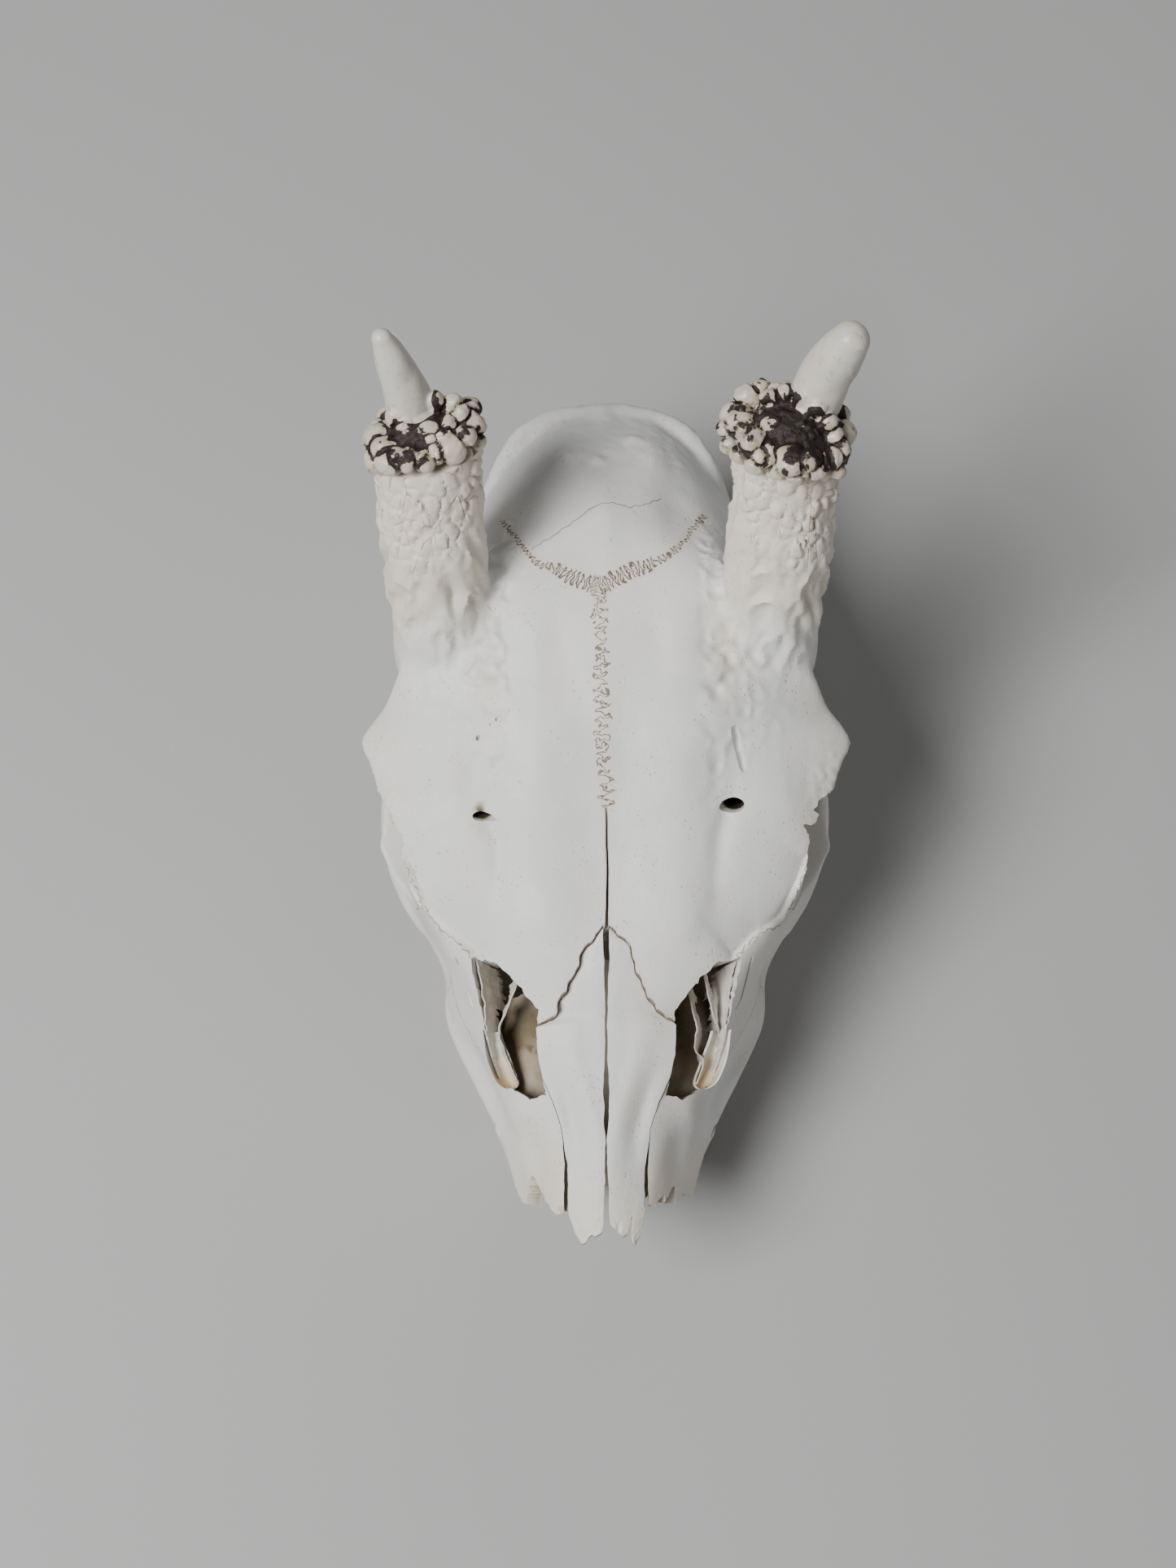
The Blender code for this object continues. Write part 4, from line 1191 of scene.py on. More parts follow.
        blush = graph.rise(graph.noise(place, 46.0, 4.0, 0.6), 0.50, 0.72, 0.30)
        blush = graph.times(blush, graph.rest(hollow_stain_and_shade, clamp=True))
        colour = graph.blend(blush, colour, self.cream)
        rough = graph.plus(graph.rise(clouds, 0.3, 0.7, 0.14), self.roughness - 0.07)
        rough = graph.plus(rough, graph.times(hollow_stain_and_shade, 0.2), clamp=True)
        return colour, rough, relief


@dataclass(frozen=True)
class AntlerFinish(Finish):
    """Polished ivory pearls with near-black skin left in the crevices, and a smooth pale spike."""

    name: ClassVar[str] = "antler"
    pearl: Colour = (0.66, 0.60, 0.49, 1)
    pearl_grey: Colour = (0.55, 0.50, 0.42, 1)
    spike: Colour = (0.64, 0.61, 0.56, 1)
    dried_skin: Colour = (0.018, 0.011, 0.008, 1)
    stain: Colour = (0.30, 0.20, 0.10, 1)

    def paint(self, graph: Graph, place: Socket, effects: SharedEffects) -> tuple[Socket, Socket, Socket]:
        """Pearls and spike each in their own ivory, then brown stain and dried skin in the crevices."""
        clouds = graph.noise(place, 120.0, 4.0, 0.6)
        pearl = graph.blend(graph.rise(clouds, 0.35, 0.7), self.pearl, self.pearl_grey)
        tip = graph.noise(graph.stretched(place, (1.0, 1.0, 0.3)), 160.0, 4.0, 0.6)
        spike = graph.blend(graph.rise(tip, 0.35, 0.75, 0.7), self.spike, self.pearl)
        fleck = graph.rise(graph.noise(place, 330.0, 5.0, 0.7), 0.54, 0.70, 0.45)
        spike = graph.blend(fleck, spike, self.stain)
        spike_mask = graph.mask("spike")
        colour = graph.blend(spike_mask, pearl, spike)
        rise = graph.plus(graph.mask("rise"), graph.times(spike_mask, 4.0))
        rise = graph.minus(rise, graph.times(graph.mask("dark"), 1.6))
        stain = graph.use(effects.crevice, {
            "Place": place, "Rise": rise, "Edge": 0.0, "Soft": 0.55, "Break": 0.9, "Scale": 300.0,
        }).outputs["DirtAndShade"]
        colour = graph.blend(graph.times(stain, 0.4), colour, self.stain)
        skin = graph.use(effects.crevice, {
            "Place": place, "Rise": rise, "Edge": 0.02, "Soft": 0.10, "Break": 1.1, "Scale": 330.0,
        }).outputs["DirtAndShade"]
        skin = graph.times(skin, graph.mask("crown"))
        colour = graph.blend(skin, colour, self.dried_skin)
        rough = graph.plus(graph.times(skin, 0.22), 0.34)
        tooth = graph.noise(place, 1800.0, 4.0, 0.6)
        fibres = graph.noise(graph.stretched(place, (1.0, 1.0, 0.16)), 1500.0, 3.0, 0.6)
        relief = graph.times(graph.minus(tooth, 0.5), graph.plus(graph.times(skin, 0.25), 0.04))
        relief = graph.plus(relief, graph.times(graph.minus(fibres, 0.5), 0.05))
        relief = graph.minus(relief, graph.times(skin, 0.12))
        return colour, rough, relief


@dataclass(frozen=True)
class EnamelFinish(Finish):
    """Smooth cream enamel, browner towards the gum and near black in the folds of the chewing face."""

    name: ClassVar[str] = "enamel"
    extras: ClassVar[dict[str, float]] = {"Coat Weight": 0.15}
    crown: Colour = (0.70, 0.64, 0.52, 1)
    neck: Colour = (0.46, 0.34, 0.20, 1)
    fold: Colour = (0.09, 0.05, 0.03, 1)
    dentine: Colour = (0.50, 0.38, 0.22, 1)

    def paint(self, graph: Graph, place: Socket, effects: SharedEffects) -> tuple[Socket, Socket, Socket]:
        """Cream crown, browner neck, worn dentine and dark folds, with fine ripples."""
        clouds = graph.noise(graph.stretched(place, (1.0, 1.0, 0.4)), 260.0, 4.0, 0.6)
        gum = graph.plus(graph.mask("neck"), graph.times(graph.minus(clouds, 0.5), 0.7))
        colour = graph.blend(graph.rise(gum, 0.15, 0.95, 0.9), self.crown, self.neck)
        colour = graph.blend(graph.mask("dentine"), colour, self.dentine)
        fold = graph.use(effects.crevice, {
            "Place": place, "Rise": graph.times(graph.mask("fold"), -1.0), "Edge": -0.75, "Soft": 0.45,
            "Break": 0.35, "Scale": 700.0,
        }).outputs["DirtAndShade"]
        colour = graph.blend(fold, colour, self.fold)
        rough = graph.plus(graph.times(fold, 0.4), 0.26)
        ripple = graph.noise(graph.stretched(place, (1.0, 1.0, 0.12)), 1500.0, 3.0, 0.5)
        relief = graph.times(graph.minus(ripple, 0.5), 0.05)
        return colour, rough, relief


def dress(obj: Object, material: Material, crease: float, slot: str, *nodes: str) -> None:
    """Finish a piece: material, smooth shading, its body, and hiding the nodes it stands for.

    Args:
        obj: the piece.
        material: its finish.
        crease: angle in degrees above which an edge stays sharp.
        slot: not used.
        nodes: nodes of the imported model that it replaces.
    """
    obj.data.materials.clear()
    obj.data.materials.append(material)
    obj.data.shade_smooth()
    obj.data.set_sharp_from_angle(angle=math.radians(crease))
    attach(obj, "root")
    if nodes:
        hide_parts(*nodes)


class Piece(ABC):
    """A visible piece: a subclass gives its shape, build the rest.

    The pattern node, filled in with the piece itself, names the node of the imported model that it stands
    for; a piece without one is extra.
    """

    node: ClassVar[str] = ""
    crease: ClassVar[float] = 60
    slot: ClassVar[str] = "bone"

    @abstractmethod
    def shape(self) -> Object:
        """Its mesh, with what the finish reads stored on it."""

    def build(self, finish: Material) -> None:
        """Make the piece and log its size.

        Args:
            finish: its material.
        """
        obj = self.shape()
        nodes = (self.node.format(self),) if self.node else ()
        dress(obj, finish, self.crease, self.slot, *nodes)
        log.info("%s: %d points, %d faces", obj.name, len(obj.data.vertices), len(obj.data.polygons))


# ---- Bones ----


@dataclass
class Nasal(Piece):
    """One of the two long bones on the top of the snout, splintered at its front end."""

    node: ClassVar[str] = "{0.side.label}_nasal"
    crease: ClassVar[float] = 55
    side: Side
    thickness: float = 2.2
    across: int = 34
    along: int = 190
    rear: float = -30.6
    tip_start: float = -89.0
    tip_share: float = 0.86

    def edges(self, y: Array) -> tuple[Array, Array, Array, Array]:
        """Medial x, outer x, middle z and edge z at each y, with an uneven outer edge."""
        table = np.array(NASAL)[::-1]
        inner, outer, mid_z, edge_z = (np.interp(y, table[:, 0], table[:, k]) for k in range(1, 5))
        place = np.stack([y, y * 0, y * 0 + self.side.value * 40], axis=-1)
        rear = np.array(NASAL_REAR[self.side])[::-1]
        outer = np.where(y > rear[0, 0], np.interp(y, rear[:, 0], rear[:, 1]), outer)
        outer = outer + 0.22 * waves(place, 2.4, 31, 2) * step(0.6, 3, outer)
        inner = np.interp(y, *INNER_GAP) + 0.24 * waves(place, 3.4, 37, 3)
        return np.maximum(inner, 0.04), outer, mid_z, edge_z

    def ring(self, y: Array, grow: float, deepen: float, slack: float = 0.0) -> Array:
        """Cross-sections at each y: an arched strip whose top falls with the 1.8th power of the share across.

        Args:
            y: station of each point across, (n, across).
            grow: widening all round.
            deepen: further parting of the two faces.
            slack: narrowing of the outer edge along the front half.

        Returns:
            (n, 2 * across, 3) points, the top from the middle out and the underside back.
        """
        share = np.linspace(0, 1, self.across)[None, :]
        inner, outer, mid_z, edge_z = (part.reshape(y.shape) for part in self.edges(y.ravel()))
        outer = outer - slack * step(-73, -84, y)
        x = inner - grow + (outer - inner + 2 * grow) * share
        top = mid_z + (edge_z - mid_z) * share**1.8
        upper = np.stack([self.side.value * x, y, top + grow + deepen], axis=-1)
        under = np.stack([self.side.value * x, y, top - self.thickness - grow - deepen / 2], axis=-1)
        return np.concatenate([upper, under[:, ::-1]], axis=1)

    def seat(self) -> Shell:
        """The shape cut from the cranium to take this bone."""
        y = np.linspace(-30.3, -99, 260)[:, None] + np.zeros((1, self.across))
        rings = self.ring(y, 0.16, 6.0)
        rings[:, [0, -1], 0] = -0.3 * self.side.value
        return tube(rings, strip=True)

    def shape(self) -> Object:
        """The bone, its rows drawn forwards by the broken edge's own distance, most at the front."""
        share = np.linspace(0, 1, self.across)
        tips = np.array(NASAL_TIPS[self.side])
        width = 0.3 + share * 9.0
        front = np.interp(width, tips[:, 0], tips[:, 1])
        front = front + 0.35 * waves(np.stack([width, width * 0, width * 0 + 3], axis=-1), 0.8, 41, 2)
        v = np.linspace(0, 1, self.along)[:, None]
        tip = np.maximum(v - self.tip_share, 0) / (1 - self.tip_share)
        y = self.rear + (self.tip_start - self.rear) * np.minimum(v / self.tip_share, 1)
        y = y + (front[None, :] - self.tip_start) * tip
        rings = self.ring(y, 0.0, 0.0, 0.75)
        points = rings.reshape(-1, 3)
        top = np.tile(np.concatenate([np.ones(self.across), np.zeros(self.across)]), self.along)
        lengthwise = points * (1.0, 0.22, 1.0)
        x, y = np.abs(points[:, 0]), points[:, 1]
        bed = np.interp(y, (-84, -74, -67, -58), (5.4, 6.6, 8.4, 11.5))
        gutter = bell((x - bed) / 2.1, (y + 69) / 9.5)
        swell = bell((x - bed + 4.4) / 2.2, (y + 66) / 17)
        shoulder = bell((x - 10) / 3, (y + 54) / 7)
        lift = 0.14 * waves(lengthwise, 2.6, 51, 3) + 0.14 * waves(points, 6.0, 53, 2)
        lift += 0.5 * swell + 0.4 * shoulder - 1.35 * gutter
        worn = step(-88, -95, points[:, 1]) * 0.55 * np.abs(waves(points * (1, 0.5, 1), 1.4, 57, 2))
        points[:, 2] += np.where(top > 0, lift - worn, worn * 0.8)
        obj = make_object(f"{self.side.label}_nasal_bone", [tube(rings, strip=True)])
        place = read_points(obj)
        store_blanks(obj, 0.0)
        store(obj, "rise", rise_above_neighbours(obj, 8))
        store(obj, "warmth", 0.25 + 0.55 * step(-74, -96, place[:, 1]))
        # Underside painted darker: partly inner stain, partly painted shade under the bone.
        store(obj, "hollow_stain_and_shade", np.where(top < 0.5, 0.6, 0.0))
        store(obj, "nasal_seam", nasal_seam_track(place))
        return obj


def nasal_seam_track(points: Array) -> Array:
    """Place along and across the seam between nasals and frontals, on whichever side is nearer."""
    tracks = []
    for side in Side:
        y, outer = np.array(NASAL_REAR[side]).T
        z = np.interp(-y, (31, 36, 41, 50), (77.2, 74.8, 72.6, 68.4))
        tracks.append(track_along(points, np.stack([outer * side.value, y, z], axis=-1), 6.0))
    nearer = points[:, :1] < 0
    return np.where(nearer, tracks[0], tracks[1])


@dataclass
class Cranium(Piece):
    """The fused bones of the head with their hollows, windows, holes, cracks and broken edges."""

    node: ClassVar[str] = "cranium"
    crease: ClassVar[float] = 50
    nasals: list[Nasal]
    rough_voxel: float = 0.9
    fine_voxel: float = 0.62
    triangles: int = 186000
    form_gain: float = 1.3
    brow_step: float = 1.5
    # Darkening of each cavity, partly inner stain and partly painted shade; above 1, as in the brow holes, it
    # turns to near black painted shade.
    nose_stain_and_shade: float = 0.85
    brain_stain_and_shade: float = 0.9
    throat_stain_and_shade: float = 0.5
    orbit_stain_and_shade: float = 0.25
    hole_painted_shade: float = 1.6

    def shape(self) -> Object:
        """The bone, from its rough form to the masks on its finished surface."""
        obj = self.rough_form()
        self.large_hollows(obj)
        fuse(obj, self.fine_voxel, 2)
        self.relief(obj)
        thin_out(obj, self.triangles)
        self.broken_edges(obj)
        self.fine_cuts(obj)
        largest_piece(obj)
        self.masks(obj)
        return obj

    def rough_form(self) -> Object:
        """Head, arches, pedicles, crest, spurs and lumps, fused into one skin."""
        shells = [loft(SECTIONS, 150, 60)]
        for path in LIMBS.values():
            shells += [sweep(mirrored(path, side)) for side in Side]
        for centre, half in LUMPS.values():
            sides = Side if centre[0] else (Side.LEFT,)
            shells += [ball((centre[0] * side.value, *centre[1:]), half) for side in sides]
        obj = make_object("cranium_bone", shells)
        fuse(obj, self.rough_voxel, 6)
        return obj

    def large_hollows(self, obj: Object) -> None:
        """Cut the orbits and the nose."""
        (x, y, z), half = ORBIT
        carve(obj, "orbits", [ball((x * side.value, y, z), half, 96) for side in Side])
        carve(obj, "nose", [loft(NOSE_CAVITY, 60, 32)])

    def broken_edges(self, obj: Object) -> None:
        """Cut the edges that are splintered or worn thin: face windows, snout and orbit rims."""
        for side in Side:
            rim = ragged(mirrored(WINDOW, side), 1.0, 0.3, 7 + side.value, closed=True)
            carve(obj, f"window_{side.label}", [prism(rim, (side.value * 0.35, -0.1, 1), 9, 9)])
            edge = ragged(SNOUT_BREAK[side], 0.8, 0.22, 20 + side.value)
            profile = np.concatenate([[(-115, 8), (-115, 75)], edge, [(edge[-1][0], 8)]])
            profile = np.concatenate([np.zeros((len(profile), 1)), profile], axis=1)
            carve(obj, f"snout_{side.label}", [prism(profile, (side.value, 0, 0), 40, 0.1)])
            rim = ragged(ORBIT_RIM[side], 0.8, 0.26, 30 + side.value)
            outside = rim[::-1] + np.array((side.value * 9.0, 0, 0))
            rim = np.concatenate([rim, outside])
            carve(obj, f"rim_{side.label}", [prism(rim, (0, 0.342, -0.94), 4.5, 5)])

    def pearl_zone(self, p: Array) -> Array:
        """Rough upper part of each pedicle: above a V whose point lies on the front of the shaft."""
        x = np.abs(p[:, 0])
        level = 111.5 + 0.85 * np.maximum(37 - x, 0) + 0.22 * np.maximum(x - 41, 0)
        level = level + 1.6 * waves(p, 5.0, 61, 2)
        return step(level - 3, level + 4, p[:, 2]) * step(20, 24, x)

    def hollows_and_swellings(self, p: Array, n: Array) -> Array:
        """Broad shallow forms, each a bell of its own height and half widths.

        Those of the upper side are laid out over x and y, those of the back of the head over x and z,
        and those of the cheeks over y and z.
        """
        x, y, z = np.abs(p[:, 0]), p[:, 1], p[:, 2]
        sides = n[:, 0] * np.sign(p[:, 0])
        total = np.zeros(len(p))
        for forms, u, v, seen in (
            (TOP_FORMS, x, y, step(0.05, 0.4, n[:, 2]) * step(40, 50, z) * step(106, 98, z)),
            (BACK_FORMS, x, z, step(0.2, 0.6, n[:, 1]) * step(82, 90, y)),
            (CHEEK_FORMS, y, z, step(0.2, 0.6, sides) * step(12, 18, x)),
        ):
            for cu, cv, a, b, height in forms:
                total += seen * self.form_gain * height * bell((u - cu) / a, (v - cv) / b)
        return total

    def below_brow_edge(self, p: Array) -> Array:
        """1 just outside the frontal's front edge, where the tear bone lies lower, fading from there."""
        share = np.zeros(len(p))
        for side in Side:
            track = track_along(p, BROW_EDGE[side], 9.0)
            out = -side.value * track[:, 1]
            here = step(-0.15, 0.35, out) * np.exp(-np.maximum(out, 0) / 5.5) * np.exp(-track[:, 2] / 1.5)
            share = np.maximum(share, here * (p[:, 0] * side.value > 0))
        return share

    def relief(self, obj: Object) -> None:
        """Push the skin in and out along its normals.

        Adds slow unevenness, the pearls of the pedicles, gutters in front of the brow holes, the worn
        rims of the orbits and the knobs on the back of the head.
        """
        p, n = read_points(obj), read_normals(obj)
        x = np.abs(p[:, 0])
        move = 0.26 * waves(p, 13.0, 71, 3) + 0.10 * waves(p * (1, 0.7, 1), 5.0, 75, 3)
        move = move + 0.06 * waves(p * (1, 0.35, 0.7), 2.2, 73, 2)
        zone = self.pearl_zone(p)
        bent = p + 0.9 * drift(p, 4.0, 80, 2)
        near, far, shade = pebbles(bent * (1, 0.9, 0.62), 3.0, 83)
        pearl = np.sqrt(np.clip(1 - (near / 0.8) ** 2, 0, 1)) * step(0.0, 0.22, far - near)
        small, _, tone = pebbles(bent * (1, 1, 0.8), 1.25, 91)
        lumps = 0.55 * waves(bent * (1, 1, 0.6), 4.6, 93, 2)
        lumps = lumps - 0.35 * np.abs(waves(bent * (1.6, 1.6, 0.4), 3.6, 95, 2))
        move += zone * (pearl * (0.3 + 0.75 * shade) + lumps + 0.3 * np.clip(1 - small, 0, 1) * tone - 0.4)
        shaft = step(84, 98, p[:, 2]) * (1 - zone) * step(20, 24, x)
        flute = 1 - np.abs(waves(bent * (1, 1, 0.24), 4.2, 97, 2)) * 2.6
        move += shaft * (1.05 * flute - 0.6 + 0.22 * waves(p * (1.3, 1.3, 0.35), 1.8, 99, 2))
        rim = bell((x - 50) / 5, (p[:, 1] - 2) / 14, (p[:, 2] - 77) / 5)
        small, _, tone = pebbles(bent * (0.7, 1.2, 1), 1.5, 101)
        move += rim * (0.5 * np.clip(1 - small, 0, 1) * (0.5 + tone) - 0.15)
        crest = step(76, 84, p[:, 1]) * step(56, 66, p[:, 2])
        move += crest * (0.4 * waves(p, 4.5, 103, 3) - 0.25 * np.abs(waves(p, 2.4, 105, 2)))
        move += self.hollows_and_swellings(p, n)
        gums = step(25, 20, p[:, 2]) * step(0.3, 0.7, n[:, 0] * np.sign(p[:, 0])) * step(6, 0, p[:, 1])
        move += gums * 0.4 * np.cos(math.tau * (p[:, 1] + 66) / 6.2)
        move -= self.brow_step * self.below_brow_edge(p)
        for path, depth, width in (
            (((-27.0, -8.5, 84.6), (-24.8, -12, 83.6), (-24.3, -17, 82), (-24.3, -26, 79)), 1.2, 1.9),
            (((27.5, -6.5, 84.8), (26.2, -10, 84), (25.4, -15, 82.4), (25.0, -24, 79)), 1.1, 2.0),
            (((-31, 1.5, 86.5), (-29.5, 6, 88.2), (-28.6, 11, 90)), 0.25, 1.6),
        ):
            track = track_along(p, path)
            fade = np.exp(-track[:, 2] / 2.5) * np.exp(-np.maximum(track[:, 0], 0) / 14)
            move -= depth * fade * bell(track[:, 1] / width)
        for centre, size, height in (
            ((-8.8, 82.4, 87.7), 1.6, 0.7), ((-1.9, 81.8, 88.8), 1.7, 0.8), ((6.5, 88.7, 84.4), 1.8, 0.9),
            ((-0.8, 98.9, 77.9), 3.0, 0.8),
        ):
            move += height * bell(np.linalg.norm(p - centre, axis=1) / size)
        write_points(obj, p + n * move[:, None])

    def fine_cuts(self, obj: Object) -> None:
        """Cut what must stay sharp: nasal seats, sockets, pedicle faces, cracks and small holes."""
        carve(obj, "brain", [ball(BRAIN[0], BRAIN[1], 48)])
        carve(obj, "throat", [ball(THROAT[0], THROAT[1], 40)])
        foramen = ((0, 80, 40, 9.5, 9.5), (0, 95, 37, 9.5, 9.5), (0, 112, 33, 9.5, 9.5))
        carve(obj, "foramen_magnum", [sweep(foramen, 24, 48)])
        for nasal in self.nasals:
            carve(obj, f"nasal_seat_{nasal.side.label}", [nasal.seat()])
        for side in Side:
            carve(obj, f"sockets_{side.label}", [socket_trench(side)])
            square, axis = seam_square(side, 20)
            carve(obj, f"pedicle_face_{side.label}", [prism(square, tuple(axis), 40, 0)])
        table = np.array([(-60.0, 74, 0), (60, 74, 0), (60, 104, 0), (-60, 104, 0)])
        carve(obj, "table_plane", [prism(table, (0, 0, 1), 0, 20)])
        crack = ragged(MIDLINE_CRACK, 1.6, 0.06, 43)
        width = np.interp(crack[:, 1], (-34, -31, -27, -20, -8, -5), (0.42, 0.46, 0.3, 0.2, 0.13, 0.08))
        width = width[:, None] * (1, 0, 0)
        outline = np.concatenate([crack + width, (crack - width)[::-1]])
        carve(obj, "midline_crack", [prism(outline, (0, 0.3, 1), 4, 2.6)])
        self.brow_holes(obj)

    def brow_holes(self, obj: Object) -> None:
        """Cut the blood-vessel holes of the brow, the pits beside them and the slits of the tear bones."""
        tunnels: tuple[tuple[str, Path], ...] = (
            *VESSEL_HOLES,
            ("brow_slot_left", (
                (28.9, 12.9, 90.4, 0.8, 1.0), (29.2, 11.4, 89.2, 1.1, 1.7), (30.1, 8.2, 88.0, 1.15, 1.8),
                (31.0, 5.0, 86.7, 1.1, 1.7), (31.4, 3.6, 87.0, 0.8, 1.0),
            )),
            ("brow_pit_right", ((-28.9, 10.7, 92.0, 0.62, 0.62), (-28.9, 10.7, 87.6, 0.55, 0.55))),
            ("brow_dot_1", ((-26.0, 13.0, 93.0, 0.32, 0.3), (-26.0, 13.0, 90.6, 0.3, 0.3))),
            ("brow_dot_2", ((-24.7, 14.0, 93.4, 0.38, 0.3), (-24.7, 14.0, 91.2, 0.3, 0.3))),
            ("brow_nick_right", (
                (-26.7, 38.9, 98.8, 0.2, 0.2), (-25.9, 38.4, 98.2, 0.36, 0.36), (-24.9, 37.7, 98.7, 0.2, 0.2),
            )),
            *(
                (f"cheek_hole_{side.label}", tuple(map(tuple, mirrored(CHEEK_HOLE, side)))) for side in Side
            ),
            ("tear_slit_right", (
                (-33.1, -37.4, 62, 0.35, 0.6), (-31.8, -40.6, 58.2, 0.5, 1), (-30.6, -43.6, 56.6, 0.4, 0.8),
            )),
            ("tear_hole_right", ((-34.8, -34.6, 64.6, 0.6, 0.8), (-31.0, -34.0, 61.6, 0.5, 0.6))),
            ("tear_slit_left", (
                (33.4, -34.2, 66.4, 0.35, 0.5), (31.9, -37.8, 62.0, 0.5, 0.9), (31.3, -41.2, 58.8, 0.45, 0.9),
                (30.0, -44.4, 58.0, 0.3, 0.5),
            )),
        )
        for name, path in tunnels:
            carve(obj, name, [sweep(path, 20, 20)])

    def masks(self, obj: Object) -> None:
        """Store what the bone finish reads: rise, pearls, warmth, the darkening of hollows (inner stain and
        painted shade, near black painted shade deep in the brow holes), pits and the suture tracks.
        """
        p = read_points(obj)
        store(obj, "rise", rise_above_neighbours(obj, 6))
        zone = self.pearl_zone(p)
        store(obj, "pearls", zone)
        x = np.abs(p[:, 0])
        shaft = step(92, 108, p[:, 2]) * step(18, 26, x)
        brow = bell((x - 50) / 7) * step(60, 76, p[:, 2]) * step(-34, -8, p[:, 1])
        snout = step(-62, -90, p[:, 1])
        back = 0.35 * step(84, 60, p[:, 2])
        temple = bell((x - 27) / 5, (p[:, 1] - 24) / 16) * 0.5
        warmth = np.clip(0.85 * shaft + 0.55 * brow + 0.6 * snout + back + temple, 0, 1)
        store(obj, "warmth", warmth)
        nose = within_nose(p, 1.3)
        brain = within(p, BRAIN, 0.5) & ~(p[:, 2] > 101)
        eye = within(p, ORBIT, 0.5)
        throat = within(p, THROAT, 0.5)
        # Nose, brain, throat and inner orbit painted darker: partly inner stain, partly painted shade.
        hollow_stain_and_shade = self.nose_stain_and_shade * nose + self.brain_stain_and_shade * brain + self.throat_stain_and_shade * throat
        hollow_stain_and_shade += self.orbit_stain_and_shade * step(44, 34, x) * (eye & ~nose)
        # Deep in each brow hole the value passes 1: near black painted shade.
        for _, path in VESSEL_HOLES:
            rows = spline(path, 40)[24:]
            far = np.linalg.norm(p[:, None] - rows[None, :, :3], axis=2) / rows[None, :, 3]
            hollow_stain_and_shade += self.hole_painted_shade * step(1.15, 0.85, far.min(axis=1))
        store(obj, "hollow_stain_and_shade", np.clip(hollow_stain_and_shade, 0, self.hole_painted_shade))
        store(obj, "pit", np.zeros(len(p)))
        for name, path in zip(TRACKS, (CORONAL, INTERFRONTAL, PARIETAL_CRACK, MIDLINE_CRACK)):
            store(obj, name, track_along(p, path))
        store(obj, "nasal_seam", nasal_seam_track(p))
        turned = np.stack([p[:, 1], p[:, 2], np.abs(p[:, 0])], axis=-1)
        nearest = np.tile(FAR_OFF, (len(p), 1))
        for path in SIDE_SEAMS:
            track = track_along(turned, path, 6.0)
            closer = np.abs(track[:, 1]) + track[:, 2] < np.abs(nearest[:, 1]) + nearest[:, 2]
            nearest = np.where(closer[:, None], track, nearest)
        store(obj, "side_seams", nearest)
        edges = [track_along(p, BROW_EDGE[side], 9.0) for side in Side]
        store(obj, "brow_seam", np.where(p[:, :1] < 0, edges[0], edges[1]))


# ---- Antlers ----


def seam_axes(side: Side) -> tuple[Array, Array, Array, Array]:
    """Middle of the seam between pedicle and antler, its upward axis and two directions along it."""
    middle = np.array((side.value * PEDICLE_TOP[0], *PEDICLE_TOP[1:]))
    axis = np.array((side.value * CORONET_LEAN[0], *CORONET_LEAN[1:]))
    axis /= np.linalg.norm(axis)
    across = np.array((1.0, 0, 0)) - axis * axis[0]
    across /= np.linalg.norm(across)
    return middle, axis, across, np.cross(axis, across)


def seam_square(side: Side, half: float) -> tuple[Array, Array]:
    """Corners of a square of this half width in the plane of the seam, and the seam's upward axis."""
    middle, axis, across, front = seam_axes(side)
    corners = ((-half, -half), (half, -half), (half, half), (-half, half))
    return np.array([middle + across * a + front * b for a, b in corners]), axis


Pearl = tuple[float, float, float, float, float, float]

